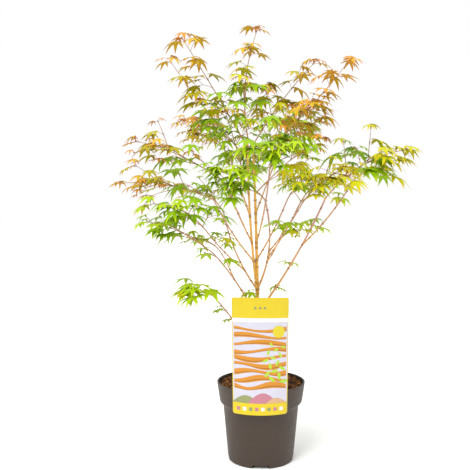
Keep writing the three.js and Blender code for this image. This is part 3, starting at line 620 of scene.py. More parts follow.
def begun(name, kind="TexCoord", output="Object", **more):
    """The empty tree of a new material, and in it the output that gives a point's place."""
    material = bpy.data.materials.new(name)
    material.use_nodes = True
    material.node_tree.nodes.clear()
    return material, material.node_tree, put(material.node_tree, kind, **more).outputs[output]


def finished(material, **sockets):
    """Gives a material its surface shader with these sockets, and gives the material back."""
    tree = material.node_tree
    put(tree, "OutputMaterial", put(tree, "BsdfPrincipled", **sockets))
    return material


def shaded(colour, factor):
    """A linear colour made darker or lighter by a factor."""
    return tuple(min(1.0, c * factor) for c in colour)


def moulded_polypropylene(colour):
    """Injection-moulded polypropylene with a fine spark-eroded grain: matt, evenly coloured,
    with faint flow clouds 50 mm across and scuffs of 12 mm that catch the light. The grain
    of 0.9 mm is drawn coarser than the real one, so that it shows."""
    material, tree, place = begun("Moulded polypropylene, taupe")
    clouds = put(tree, "TexNoise", place, Scale=1 / 0.05, Detail=3.0)
    grain = put(tree, "TexNoise", place, Scale=1 / 0.0009, Detail=2.0)
    scuffs = put(tree, "TexNoise", place, Scale=1 / 0.012, Detail=6.0, Distortion=1.2)
    clouded = put(tree, "Mix", clouds, shaded(colour, 0.88), shaded(colour, 1.12), data_type="RGBA")
    scuffed = put(tree, "MapRange", scuffs, 0.62, 0.8, 0.0, 0.35)
    tone = put(tree, "Mix", scuffed, clouded, shaded(colour, 1.45), data_type="RGBA")
    rough = put(tree, "MapRange", scuffs, 0.3, 0.8, 0.46, 0.62)
    relief = put(tree, "Bump", Height=grain, Strength=0.18, Distance=0.0002)
    return finished(material, Base_Color=tone, Roughness=rough, Normal=relief, IOR=1.49)


def composted_bark(name, colour, pit_shade_colour):
    """Composted conifer bark: dull, damp, fibrous, with pale fibres, in lumps of 6 mm and crumbs
    of 1.2 mm. Where the lumps are low, the colour is painted darker, as painted shade in the hollows between
    the fibres."""
    material, tree, place = begun(name)
    lumps = put(tree, "TexNoise", place, Scale=1 / 0.006, Detail=5.0, Roughness=0.65)
    crumbs = put(tree, "TexNoise", place, Scale=1 / 0.0012, Detail=3.0)
    # painted shade: the colour turns to the darker one in the hollows, where the lumps are low
    tone = put(tree, "Mix", put(tree, "MapRange", lumps, 0.35, 0.65), pit_shade_colour, colour, data_type="RGBA")
    height = put(tree, "Math", lumps, crumbs, operation="ADD")
    relief = put(tree, "Bump", Height=height, Strength=0.6, Distance=0.0008)
    return finished(material, Base_Color=tone, Roughness=0.9, Normal=relief, IOR=1.4)


def living_bark(name, old, young, ring):
    """Smooth living bark with a waxy skin: streaks along the limb, pale pores 2 mm apart,
    darker rings at the nodes, and a colour that changes from the limb's foot to its tip."""
    material, tree, place = begun(name, "Attribute", "Vector", attribute_name="bark_place")
    age, rings = (put(tree, "Attribute", attribute_name=key).outputs["Fac"] for key in ("age", "ring"))
    long, short = (put(tree, "Mapping", place, Scale=scale) for scale in ((0.9, 0.9, 0.07), (1.0, 1.0, 0.45)))
    streaks = put(tree, "TexNoise", long, Scale=1.0, Detail=4.0)
    pores = put(tree, "TexVoronoi", short, Scale=0.55)
    pore = put(tree, "MapRange", pores, 0.2, 0.08, 0.0, 0.55)
    base = put(tree, "Mix", age, old, young, data_type="RGBA")
    deep = put(tree, "Mix", age, shaded(old, 0.62), shaded(young, 0.66), data_type="RGBA")
    tone = put(tree, "Mix", put(tree, "MapRange", streaks, 0.35, 0.68), deep, base, data_type="RGBA")
    pored = put(tree, "Mix", pore, tone, shaded(old, 1.5), data_type="RGBA")
    ringed = put(tree, "Mix", rings, pored, ring, data_type="RGBA")
    height = put(tree, "Math", streaks, pore, operation="ADD")
    relief = put(tree, "Bump", Height=height, Strength=0.5, Distance=0.0003)
    return finished(material, Base_Color=ringed, Roughness=0.5, Normal=relief, IOR=1.45)


def living_leaf(name, colour):
    """A thin living leaf with a cuticle: a soft sheen, and puckers of 2.5 mm between the
    veins. Its colour is plain, because the tints are dealt out spray by spray."""
    material, tree, place = begun(name)
    puckers = put(tree, "TexNoise", place, Scale=1 / 0.0025, Detail=2.0)
    rough = put(tree, "MapRange", puckers, 0.0, 1.0, 0.42, 0.62)
    relief = put(tree, "Bump", Height=puckers, Strength=0.15, Distance=0.0003)
    sheen = {"IOR": 1.42, "Specular_IOR_Level": 0.15}
    return finished(material, Base_Color=colour, Roughness=rough, Normal=relief, **sheen)


def printed_card(name, colour):
    """Offset print under a clear film on polypropylene sheet: even colour with a faint
    mottle of the ink, and a gloss that is broken a little by the film."""
    material, tree, place = begun(name)
    mottle = put(tree, "TexNoise", place, Scale=1 / 0.014, Detail=3.0)
    tone = put(tree, "Mix", mottle, shaded(colour, 0.94), shaded(colour, 1.05), data_type="RGBA")
    film = put(tree, "TexNoise", place, Scale=1 / 0.03, Detail=2.0)
    rough = put(tree, "MapRange", film, 0.0, 1.0, 0.27, 0.39)
    return finished(material, Base_Color=tone, Roughness=rough, IOR=1.49)


def painted_floor(colour):
    """A matt painted studio floor with a very faint cloudiness."""
    material, tree, place = begun("Matt painted floor")
    cloud = put(tree, "TexNoise", place, Scale=1 / 0.4, Detail=2.0)
    tone = put(tree, "Mix", cloud, shaded(colour, 0.99), shaded(colour, 1.01), data_type="RGBA")
    return finished(material, Base_Color=tone, Roughness=0.85)


# Growth
class Limb(Bend):
    """A trunk or bough: its centre line and its radius along it."""

    def __init__(self, name, parent, foot, tip, bow, *radii):
        super().__init__(foot, tip, bow)
        self.name, self.parent, self.radii = name, parent, radii

    def radius_at(self, share):
        """radius + (tip radius - radius) t, and on the trunk + flare exp(-t length / fall)."""
        share = np.asarray(share, float)
        radius = self.radii[0] + (self.radii[1] - self.radii[0]) * share
        if self.parent:
            return radius
        flare, fall = TRUNK.flare
        return radius + flare * np.exp(-share * self.length() / fall)


def grown_limbs():
    """Every limb by name, in the order in which they grow."""
    limbs = {"trunk": Limb("trunk", None, TRUNK.foot, TRUNK.tip, TRUNK.bow, *TRUNK.radii)}
    for name, parent, at, *shape in LIMBS:
        limbs[name] = Limb(name, (parent, at), limbs[parent].point(at), *shape)
    return limbs


def levelled(direction, flatten):
    """A direction with its rise cut to a share, as a unit vector."""
    return unit(direction * np.array((1.0, 1.0, flatten)))


def around_stem(along, turn):
    """A direction square to the stem, turned about it from the level one."""
    side = np.cross(along, UP)
    if np.linalg.norm(side) < UPRIGHT:
        side = ACROSS
    return turned(unit(side), along, turn)


def drawn(draw, least, more):
    """A seeded number from the least to more above it."""
    return least + more * draw()


def jitter(draw):
    """A seeded angle up to RULE.jitter degrees to either side."""
    return math.radians(RULE.jitter) * (2 * draw() - 1)


def leaf_place(node, along, outward, size, draw):
    """One place for a leaf: where its blade starts, and which way it lies."""
    stalk = levelled(outward + along * drawn(draw, *RULE.forward), RULE.leaf_lift)
    stalk = turned(stalk, UP, jitter(draw))
    stalk = unit(stalk + UP * drawn(draw, *RULE.rise))
    base = node + stalk * size * RULE.petiole * drawn(draw, *RULE.stalk)
    droop = math.radians(drawn(draw, *RULE.droop))
    level = turned(levelled(stalk, 0), UP, jitter(draw))
    heading = level * math.cos(droop) - UP * math.sin(droop)
    across = turned(np.cross(UP, level), level, jitter(draw))
    normal = unit(np.cross(heading, across))
    across = np.cross(normal, heading)
    return Group(node=node, base=base, heading=heading, across=across, normal=normal, size=size)


def leaf_tries(node, along, outward, size, draw):
    """The places that a leaf may try, one after the other."""
    return [leaf_place(node, along, outward, size, draw) for _ in range(RULE.tries)]


def opposite_pair(curve, share, turn):
    """Where a node's two sprays leave their stem: spot, direction of the stem, way out."""
    spot, along = curve.point(share), curve.tangent(share)
    return [(spot, along, around_stem(along, turn + half)) for half in OPPOSITE]


def side_shoot(spot, along, outward, angle, length, bow):
    """A shoot that leaves its stem at an angle and is bowed upwards by a share of its length."""
    way = unit(outward * math.sin(angle) + along * math.cos(angle))
    return Bend(spot, spot + way * length, (0, 0, bow * length))


def mass_plan(seed, row, limbs):
    """All that a mass could grow: its stem, the shares of it where its nodes are, its twigs
    with their leaves, and the leaves at the nodes that have no twigs."""
    name, tip, bow, pairs, twigs, twig_length, leaf_length, full, blade, tints, slot = row
    on, at = SEATS.get(name, (f"bough_{name}", 1))
    draw = seeded(seed)
    foot = limbs[on].point(at)
    if at == 1:
        foot = foot + RULE.start * limbs[on].tangent(1)
    mass = Group(
        name=name, stem=Bend(foot, tip, bow), nodes=[], places=[], tints=tints.split(), slot=slot, seed=seed,
        leaf=leaf_length, full=full, blade=blade, leaves=[], twigs=[], spurs=[],
    )
    for i in range(pairs):
        age = 1 - i / (pairs - 1)
        share = RULE.last_node + (RULE.first_node - RULE.last_node) * age
        size = leaf_length * (RULE.small + (1 - RULE.small) * age) * drawn(draw, *RULE.leaf_size)
        mass.nodes.append(share)
        turn = math.radians(RULE.turn * i) + jitter(draw)
        for spot, along, outward in opposite_pair(mass.stem, share, turn):
            if i >= twigs:
                mass.places.append((leaf_tries(spot, along, outward, size, draw), age))
                continue
            length = twig_length * (1 - RULE.twig_loss * i / pairs) * drawn(draw, *RULE.twig_size)
            level, angle = levelled(outward, RULE.twig_lift), math.radians(RULE.twig_angle)
            twig = side_shoot(spot, along, level, angle, length, RULE.bow)
            twig.age, twig.places = age, []
            for k, place in enumerate(RULE.twig_places):
                small = size * (1 - RULE.leaf_loss * k)
                for side in opposite_pair(twig, place, math.radians(RULE.turn * k) + jitter(draw)):
                    twig.places.append((leaf_tries(*side, small, draw), age * (1 - RULE.age_loss * k)))
            mass.twigs.append(twig)
    return mass


def distances(points, samples):
    """From each point to each of the samples."""
    gap = points[:, None] - samples[None]
    return np.sqrt((gap * gap).sum(axis=2))


def leaf_reach(leaf):
    """The points by which a leaf's room is tested: its base, its lobes' tips and their middles."""
    turns, reach = np.array(REACH_LOBES).T[..., None]
    far, angle = leaf.size * reach, np.radians(turns)
    aside = leaf.across * far * np.sin(angle) - leaf.normal * REACH_CURL * far
    tips = leaf.base + leaf.heading * far * np.cos(angle) + aside
    return np.concatenate([leaf.base[None], tips, (tips + leaf.base) / 2])


def thinned(leaf, mass, draw):
    """Whether a leaf is left out of a thin mass, to leave the sky open above and below its
    layer: the chance that it stays is full (near - d / far), with the two values of LAYER,
    where d is its height over or under the stem."""
    if mass.full >= 1:
        return False
    stem = mass.stem.points(SAMPLES)
    nearest = stem[np.linalg.norm(stem - leaf.heart, axis=1).argmin()]
    near, far = LAYER
    return draw() > mass.full * (near - abs(leaf.heart[2] - nearest[2]) / far)


class Crown:
    """Every mass with the twigs and leaves that it keeps, each in its own space: nearer to
    its own skeleton than to any other mass's, and clear of every limb."""

    def __init__(self, limbs):
        self.limbs = limbs
        self.limb_points = np.concatenate([limb.points(SAMPLES) for limb in limbs.values()])
        self.limb_radii = np.repeat([limb.radius_at(0.0) for limb in limbs.values()], SAMPLES + 1)
        self.masses = [mass_plan(seed, row, limbs) for seed, row in enumerate(MASSES, 1)]
        self.gather([[mass.stem.points(SAMPLES)] for mass in self.masses])
        taken = np.full((1, 3), np.inf)
        for mass in self.masses:
            planned, mass.twigs = mass.twigs, []
            for twig in planned:
                points = twig.points(TWIG_SAMPLES)[1:]
                if distances(points, taken).min() > RULE.twig_gap and self.fits(points, mass):
                    taken = np.concatenate([taken, points])
                    mass.twigs.append(twig)
        twigs = [[twig.points(TWIG_SAMPLES) for twig in mass.twigs] for mass in self.masses]
        self.gather([[mass.samples, *points] for mass, points in zip(self.masses, twigs)])
        for mass in self.masses:
            self.settle(mass)
            self.grow_finer(mass)
        self.masses.append(self.sprigs())

    def gather(self, skeletons):
        """Keeps the points on every mass's skeleton, with the mass that each belongs to."""
        for mass, parts in zip(self.masses, skeletons):
            mass.samples = np.concatenate(parts)
        self.samples = np.concatenate([mass.samples for mass in self.masses])
        self.owner = np.concatenate([np.full(len(mass.samples), mass.seed) for mass in self.masses])

    def fits(self, points, mass):
        """Whether points are in a mass's own space and clear of every limb."""
        mine = distances(points, mass.samples).min(axis=1) + SPACE_MARGIN
        others = distances(points, self.samples[self.owner != mass.seed]).min(axis=1)
        clear = distances(points, self.limb_points) - self.limb_radii[None]
        return bool((others > mine).all() and (clear > BARK_MARGIN).all())

    def add(self, mass, tries, age, young=False, thin=None):
        """Adds the first of a leaf's places that lies in its mass's own space and not on
        another leaf, unless it is thinned out, and says whether it did."""
        hearts = np.array([other.heart for other in mass.leaves]).reshape(-1, 3)
        for leaf in tries:
            leaf.heart = leaf.base + leaf.heading * RULE.heart * leaf.size
            apart = np.linalg.norm(hearts - leaf.heart, axis=1)
            if (apart >= RULE.gap * leaf.size).all() and self.fits(leaf_reach(leaf), mass):
                break
        else:
            return False
        if thin and thinned(leaf, mass, thin):
            return False
        leaf.age, leaf.young = age, young
        mass.leaves.append(leaf)
        return True

    def settle(self, mass):
        """Settles the leaves of the rule. A twig that keeps none of them isn't grown."""
        draw = seeded(mass.seed + 300)

        def settled(places):
            return any([self.add(mass, tries, age, thin=draw) for tries, age in places])

        mass.twigs = [twig for twig in mass.twigs if settled(twig.places)]
        settled(mass.places)

    def grow_finer(self, mass):
        """Carries the rule on to spurs between the nodes and to the young pair at each tip."""
        draw = seeded(mass.seed + 500)
        middles = [(a + b) / 2 for a, b in zip(mass.nodes[:-1], mass.nodes[1:])]
        spread = RULE.last_node - RULE.first_node
        shoots = [(mass.stem, middles, [1 - (s - RULE.first_node) / spread for s in middles], 1.0)]
        shoots += [(twig, FINE.places, [twig.age] * 2, FINE.on_twigs) for twig in mass.twigs]
        for curve, places, ages, scale in shoots:
            for k, (place, age) in enumerate(zip(places, ages)):
                turn = math.radians(RULE.turn * (k + 0.5)) + FINE.turn * draw()
                for spot, along, outward in opposite_pair(curve, place, turn):
                    length, level = drawn(draw, *FINE.length), levelled(outward, FINE.lift)
                    spur = side_shoot(spot, along, level, math.radians(FINE.angle), length, FINE.bow)
                    size = mass.leaf * FINE.leaf * scale * drawn(draw, *FINE.leaf_size)
                    wanted = draw() < mass.full - 1 and self.fits(spur.points(4, 0.2), mass)
                    along = spur.tangent(1.0)
                    side, found = around_stem(along, FINE.twist * draw()), []
                    for out in (side, -side):
                        tries = leaf_tries(spur.tip, along, out, size, draw)
                        found.append(wanted and self.add(mass, tries, FINE.age * age))
                    if any(found):
                        mass.spurs.append(spur)
        for curve, age in [(mass.stem, 0.0), *((twig, YOUNG.age * twig.age) for twig in mass.twigs)]:
            for spot, along, outward in opposite_pair(curve, 1.0, YOUNG.turn * draw()):
                size = mass.leaf * YOUNG.leaf * drawn(draw, *YOUNG.leaf_size)
                tries = leaf_tries(spot, unit(along + YOUNG.rise * UP), outward, size, draw)
                self.add(mass, tries, age, young=True)

    def sprigs(self):
        """The small sprigs on the bare wood: each is a short shoot with two pairs of leaves."""
        mass = Group(
            name="sprigs", stem=None, nodes=[], tints=FRESH.split(), slot="lime", seed=SPRIG.seed,
            blade=SPRIG.blade, leaves=[], twigs=[], spurs=[],
        )
        draw = seeded(mass.seed)
        for name, share, turn, length, leaf_length in SPRIGS:
            where = opposite_pair(self.limbs[name], share, math.radians(turn))[0]
            shoot = side_shoot(*where, SPRIG.angle, length, RULE.bow)
            mass.samples = shoot.points(5, 0.3)
            found = []
            for k, place in enumerate(SPRIG.places):
                size, age = leaf_length * (1 - SPRIG.leaf_loss * k), SPRIG.age - SPRIG.age_loss * k
                for side in opposite_pair(shoot, place, math.radians(RULE.turn * k) + draw()):
                    found.append(self.add(mass, leaf_tries(*side, size, draw), age))
            if any(found):
                mass.twigs.append(shoot)
        return mass


# Leaves and twigs
def leaf_outline(lobes, sinus, width):
    """One leaf blade as a flat star, one unit long: for each lobe the cut beside it, a
    shoulder where it is widest, a taper, the tip, and two points on its midrib. Returns
    the points as (ahead, across, off the midrib), the faces with four and with three
    corners, and which points lie on a midrib."""
    points, ribs, quads, triangles = [(0.0, 0.0, 0.0)], [1], [], []

    def spot(angle, ahead, aside, off, rib=0):
        cos, sin = math.cos(math.radians(angle)), math.sin(math.radians(angle))
        points.append((ahead * cos - aside * sin, ahead * sin + aside * cos, off))
        ribs.append(rib)
        return len(points) - 1

    def cut(angle, reach):
        return spot(angle, reach, 0, BLADE.rise * reach)

    beside, short = BLADE.heel
    least, more = BLADE.cut
    narrow, wider = BLADE.wide
    before = cut(lobes[0][0] - beside, short)
    for i, (angle, reach) in enumerate(lobes):
        if i + 1 < len(lobes):
            next_angle, next_reach = lobes[i + 1]
            after = cut((angle + next_angle) / 2, sinus * (least + more * min(reach, next_reach)))
        else:
            after = cut(angle + beside, short)
        wide, (far, thin) = width * (narrow + wider * reach), BLADE.taper
        shoulder = [spot(angle, BLADE.widest * reach, hand * wide, wide) for hand in (-1, 1)]
        taper = [spot(angle, far * reach, hand * wide * thin, wide * thin) for hand in (-1, 1)]
        low_rib, high_rib, tip = (spot(angle, share * reach, 0, 0, 1) for share in (*BLADE.ribs, 1))
        quads += [
            (0, before, shoulder[0], low_rib),
            (0, low_rib, shoulder[1], after),
            (low_rib, shoulder[0], taper[0], high_rib),
            (low_rib, high_rib, taper[1], shoulder[1]),
        ]
        triangles += [(high_rib, taper[0], tip), (high_rib, tip, taper[1])]
        before = after
    return np.array(points), np.array(quads), np.array(triangles), np.array(ribs)


CLOSED_LOBES = [(angle * 0.94, reach * (0.97 if abs(angle) > 60 else 1)) for angle, reach in LEAF_LOBES]
OUTLINES = [
    leaf_outline(LEAF_LOBES, 0.43, 0.118),
    leaf_outline(LEAF_LOBES, 0.37, 0.102),
    leaf_outline(CLOSED_LOBES, 0.5, 0.13),
]


def tint_of(leaf, tints, draw):
    """The tint of a leaf's spray, from its age, with some that turn sooner or later."""
    youth = 1 - leaf.age + TINT_CHANCE * (draw() - 0.5)
    if leaf.young and tints[2] in ("ochre", "orange"):
        return "flush"
    return tints[sum(youth >= step for step in TINT_STEPS)]


def tint_names(tints):
    """The tints that a mass can take, each once."""
    return sorted({*tints, "flush"})


def leaf_blades(shape, mass, settings):
    """Adds every blade of a mass: point = base + size (u heading + v across + w normal), with
    w = fold off - curl (u^2 + v^2) - sag |v|, where off is the distance from the midrib.
    The three-cornered faces at the tips take the tint's second colour."""
    draw = seeded(mass.seed + 900)
    names = tint_names(mass.tints)
    groups = [[] for _ in OUTLINES]
    for leaf in mass.leaves:
        groups[int(draw() * len(OUTLINES)) % len(OUTLINES)].append(leaf)
        leaf.tint = names.index(tint_of(leaf, mass.tints, draw))
        leaf.chance = (draw(), draw(), draw())
    keys = ("base", "heading", "across", "normal", "chance", "age", "size", "tint")
    for (points, quads, triangles, ribs), leaves in zip(OUTLINES, groups):
        if not leaves:
            continue
        every = [np.array([getattr(leaf, key) for leaf in leaves]) for key in keys]
        base, heading, across, normal, chance = (values[:, None] for values in every[:5])
        age, size, tint = every[5:]
        lift = settings.lift * np.clip(-heading[..., 2:], 0, 1)
        heading = unit(heading + lift * normal)
        normal = np.cross(heading, across)
        size = size * settings.size * mass.blade * (BLADE_SIZE[0] + BLADE_SIZE[1] * age)
        u, v, off = points.T
        fold = settings.fold * (BLADE_FOLD + chance[..., 0])
        curl = settings.curl * (BLADE_CURL[0] + BLADE_CURL[1] * chance[..., 1])
        w = fold * off - curl * (u * u + v * v) - BLADE_SAG * chance[..., 2] * np.abs(v)
        blades = u[:, None] * heading + v[:, None] * across + w[..., None] * normal
        count, step = len(leaves), len(points)
        tints = (np.repeat(2 * tint, len(quads)), np.repeat(2 * tint + 1, len(triangles)))
        faces = copies(quads, count, step), copies(triangles, count, step)
        shape.add(base + size[:, None, None] * blades, *faces, slots=tints, crease=np.tile(ribs, count))


def mass_twigs(shape, mass):
    """Adds a mass's stem, twigs, spurs, leaf stalks and the buds at the shoots' tips."""

    def add_knotted(curves, foot, places, rings, width, rise, **values):
        shares = np.linspace(0, 1, rings)
        radii = knotted(foot + (RULE.tip_radius - foot) * shares, shares, places, width, rise)
        dark = [place for place in places if place < 1]
        values["ring"] = lambda share: sum(bump(share, place, width) for place in dark)
        add_sticks(shape, curves, radii, **values)

    shoots = mass.twigs
    if mass.stem:
        add_knotted([mass.stem], RULE.stem_radius, mass.nodes, *STEM_KNOTS, sides=8, age=lambda share: share)
        shoots = [mass.stem, *mass.twigs]
    add_knotted(mass.twigs, RULE.twig_radius, (0.0, *RULE.twig_places), *TWIG_KNOTS, sides=6, age=0.8)
    add_sticks(shape, mass.spurs, np.linspace(*FINE.radii, 5), 5, age=1.0, ring=0.0)
    stalks = []
    for leaf in mass.leaves:
        bow = UP * STALK.bow * np.linalg.norm(leaf.base - leaf.node)
        stalks.append(Bend(leaf.node, leaf.base + leaf.heading * STALK.under * leaf.size, bow))
    add_sticks(shape, stalks, STALK.radii, 4, slot=1, age=1.0, ring=0.0)
    buds = [Bend(curve.tip, curve.tip + curve.tangent(1.0) * TIP_BUD.length) for curve in shoots]
    add_sticks(shape, buds, TIP_BUD.radii, 6, age=1.0, ring=0.7)


# Bark
def limb_mesh(shape, limb, forks, settings):
    """Adds a limb with its relief: the radius follows the taper, swells at each ring and
    fork, and is fluted by a soft random height; under a ring there is a narrow groove. The
    rings stand at even steps, clear of the forks."""
    length = limb.length()
    start = 0.0 if limb.parent else np.interp(GROUND - 1.5, limb.points(399)[:, 2], np.linspace(0, 1, 400))
    shares = np.linspace(start, 1, int(length / RELIEF.step))
    count = max(2, round(length / (settings.node_spacing / MM)))
    even = [(i + 0.5) / count for i in range(count)]
    nodes = [s for s in even if all(abs(s - c) * length > RELIEF.clear for c in forks)]
    radii = knotted(limb.radius_at(shares), shares, nodes, RELIEF.node / length, settings.swelling)
    radii = knotted(radii, shares, forks, RELIEF.fork / length, RELIEF.fork_more * settings.swelling)
    depth, offset, width = RELIEF.groove
    for place in nodes:
        radii -= depth * bump(shares - offset / length, place, width / length)
    if limb.parent:
        rise, fall = RELIEF.foot
        radii = radii * (1 + rise * np.exp(-shares * length / fall))
    sides = 20 if limb.radii[0] > RELIEF.thick else 12
    angle = circle(sides)
    rise, size, stretch = RELIEF.flutes
    level = (shares * length / stretch)[:, None]
    skin = np.stack(np.broadcast_arrays(np.cos(angle), np.sin(angle), level), axis=-1)
    relief = 1 + rise * rumple(skin, size, len(limb.name) * 7 + len(shares))
    if not limb.parent:
        rise, fall, count, turn = RELIEF.buttress
        relief += rise * np.exp(-(shares - start) * length / fall)[:, None] * np.sin(count * angle + turn)

    def ringed(share):
        share = start + (1 - start) * share
        dark = [np.zeros_like(share)]
        for places, (width, depth) in ((nodes, DARK.node), (forks, DARK.fork)):
            dark += [depth * bump(share, place, width / length) for place in places]
        if limb.parent:
            dark.append(DARK.foot[1] * np.exp(-share * length / DARK.foot[0]))
        return np.max(dark, axis=0)

    def aged(share):
        least, more = BOUGH_AGE if limb.name.startswith("bough") else LEADER_AGE
        return np.clip(least + more * (start + (1 - start) * share), 0, 1)

    add_sticks(shape, [limb.after(start)], radii[:, None] * relief, sides, age=aged, ring=ringed)
    buds = []
    for i, place in enumerate(nodes):
        spot, along = limb.point(place), limb.tangent(place)
        for half in OPPOSITE:
            out = around_stem(along, math.radians(RULE.turn * i) + half)
            seat = spot + out * float(limb.radius_at(place)) * BUD.seat
            buds.append(Bend(seat, seat + unit(out + BUD.along * along) * BUD.length))
    add_sticks(shape, buds, BUD.radii, 6, age=1.0, ring=0.85)


# The pot and the compost
def pot_surface(settings):
    """The turned shell: a closed profile of radius and height carried round the axis. Where
    a drain notch is, every point of the foot that lies lower than the notch's roof is
    lifted to it, and the floor inside is lifted over it by the roof's thickness. Returns the
    points, and 1 at those on the notch's edge."""
    height, rim, base = (v / MM for v in (settings.height, settings.rim_radius, settings.base_radius))
    wall, lip, top, foot = POT.wall, POT.lip, POT.body_top_radius, POT.foot_round
    collar = height - POT.collar_height
    body = collar - POT.step_height
    # each corner of the profile, and how far its rounding reaches
    profile = [
        (0, 0, 0),
        (base - NOTCH.depth - 0.05, 0, 0.01),
        (base - NOTCH.depth + 0.05, 0, 0.01),
        (base, 0, foot * 0.8),
        (base + (top - base) * foot / body, foot, 0.01),
        (top, body, 5.0),
        (POT.collar_foot_radius, collar, 3.2),
        (rim, height, 1.1),
        (rim - lip, height, 1.1),
        (rim - lip, height - POT.lip_height, 0.8),
        (POT.collar_foot_radius - wall, collar, 3.0),
        (top - wall, body, 5.0),
        (base - wall, wall, 5.0),
        (0, wall, 0),
    ]
    profile = np.array(profile)
    profile = divided(rounded(profile[:, :2], profile[1:-1, 2], 5), 12.0)
    half = math.asin(NOTCH.width / 2 / base)
    middles = -np.pi / 2 + np.arange(NOTCH.count) * 2 * np.pi / NOTCH.count
    slope = NOTCH.slope
    edges = middles[:, None] + np.array((-half - slope, -half, half, half + slope))
    angles = np.unique(np.concatenate([circle(POT.sides), edges.ravel() % (2 * np.pi)]).round(6))
    off = np.abs((angles[:, None] - middles[None] + np.pi) % (2 * np.pi) - np.pi).min(axis=1)
    notch = np.clip((half + slope - off) / slope, 0, 1)[None, :]
    radius, level = profile[:, :1], profile[:, 1:]
    outer = np.arange(len(profile))[:, None] <= int(np.argmax(profile[:, 1]))
    near = radius > base - NOTCH.depth - np.where(outer, 0, NOTCH.roof)
    roof = NOTCH.height + np.where(outer, 0, NOTCH.roof)
    z = np.where(near, np.maximum(level, roof * notch), level * np.ones_like(notch))
    edge = near & outer & (level < foot) & (off < half + slope + 0.001)[None]
    return np.stack([radius * np.cos(angles), radius * np.sin(angles), z], axis=-1), edge.astype(float)


def add_turning(shape, surface, **values):
    """Adds a surface whose first and last rows are single points on the axis: the rows
    between are wrapped quads, and each end is a fan from one point. A value is given at
    every point of the surface."""
    rows, columns = surface.shape[:2]
    inner = (rows - 2) * columns
    ends = fan(inner, 0, columns)[:, [0, 2, 1]], fan(inner + 1, inner - columns, columns)
    flat = {key: np.append(value[1:-1].ravel(), (0, 0)) for key, value in values.items()}
    points = np.concatenate([surface[1:-1].reshape(-1, 3), surface[:1, 0], surface[-1:, 0]])
    shape.add(points, flipped(grid_faces(rows - 2, columns, True)), *ends, **flat)


def compost_surface():
    """The fill as a turned lump: a mound, level + mound (1 - (r / edge)^2), roughened by a
    random height, with a side that follows the pot's wall and a flat underside."""
    top = np.linspace(0, SOIL.edge, SOIL.rings)
    mound = SOIL.level + SOIL.mound * (1 - (top / SOIL.edge) ** 2)
    radii, heights = np.concatenate([np.stack([top, mound], axis=1), SOIL.side]).T[..., None]
    angles = circle(SOIL.sides)
    flat = np.stack(np.broadcast_arrays(radii * np.cos(angles), radii * np.sin(angles), 0.0), axis=-1)
    rough = SOIL.lumps[0] * rumple(flat, SOIL.lumps[1], 3) + SOIL.crumbs[0] * rumple(flat, SOIL.crumbs[1], 4)
    ease = np.clip((SOIL.edge - radii) / SOIL.calm_edge, 0, 1) * (np.arange(len(radii)) < SOIL.rings)[:, None]
    calm = np.clip(radii / SOIL.calm_middle - 1, 0, 1)
    flat[..., 2] = heights + rough * ease * calm * SOIL.rough
    return flat[::-1]


def bark_chips(count):
    """Chips of bark: each is a bent, tapering slab of three rings of four corners and two
    ends, turned at random and laid on the mound."""
    dice = np.random.default_rng(11)
    radius = (SOIL.edge - CHIPS.inset) * np.sqrt(dice.uniform(CHIPS.clear, 1, count))
    angle = dice.uniform(0, 2 * np.pi, count)
    height = SOIL.level + SOIL.mound * (1 - (radius / SOIL.edge) ** 2) + dice.uniform(*CHIPS.lift, count)
    centre = np.stack([radius * np.cos(angle), radius * np.sin(angle), height], axis=1)
    length, share, thick = (
        dice.uniform(*sizes, count)[:, None, None] for sizes in (CHIPS.length, CHIPS.width, CHIPS.thick)
    )
    width = length * share
    t, swell = np.array(CHIPS.taper).T[..., None]
    corners = np.array([(1, 1), (-1, 1), (-1, -1), (1, -1)])
    shake = dice.uniform(*CHIPS.uneven, (count, 3, 4, 2))
    aside = corners[:, 0] * swell * width / 2 * shake[..., 0]
    rise = corners[:, 1] * swell * thick / 2 * shake[..., 1] - (2 * t) ** 2 * CHIPS.bend * length
    points = np.stack(np.broadcast_arrays(t * length, aside, rise), axis=-1).reshape(count, 12, 3)
    turns = [dice.uniform(-most, most, count)[:, None] for most in CHIPS.turns]
    for angle, (i, k) in zip(turns[::-1], ((1, 2), (2, 0), (0, 1))):
        a, b = points[..., i].copy(), points[..., k].copy()
        points[..., i] = a * np.cos(angle) - b * np.sin(angle)
        points[..., k] = a * np.sin(angle) + b * np.cos(angle)
    points += centre[:, None]
    faces = np.concatenate([flipped(grid_faces(3, 4, True)), [(0, 1, 2, 3), (11, 10, 9, 8)]])
    tone = np.repeat(dice.integers(0, 3, count), len(faces))
    return points, copies(faces, count, 12), tone


# The label
def card_point(x, z, off=0.0):
    """A point of the card's front at x from its middle and z above its foot, both measured
    on the flat card. It follows the pot's curve, R - sqrt(R^2 - x^2), less and less towards
    the top, stands less wide where it is bent, and leans back. off moves it out of the
    card, towards the viewer."""
    up = z / LABEL.height
    x = x * (1 - LABEL.narrowing * (1 - up))
    hollow = LABEL.front - np.sqrt(LABEL.front**2 - x**2)
    y = -LABEL.front + hollow * (1 - LABEL.flatter * up) + LABEL.lean * up - off
    return np.stack([LABEL.centre + x, y, LABEL.foot + z], axis=-1)


def add_print(shape, slot, x, z, off):
    """Adds a grid of points that is printed on the card, from its flat places."""
    shape.add(card_point(x, z, off), flipped(grid_faces(*x.shape)), slots=slot)


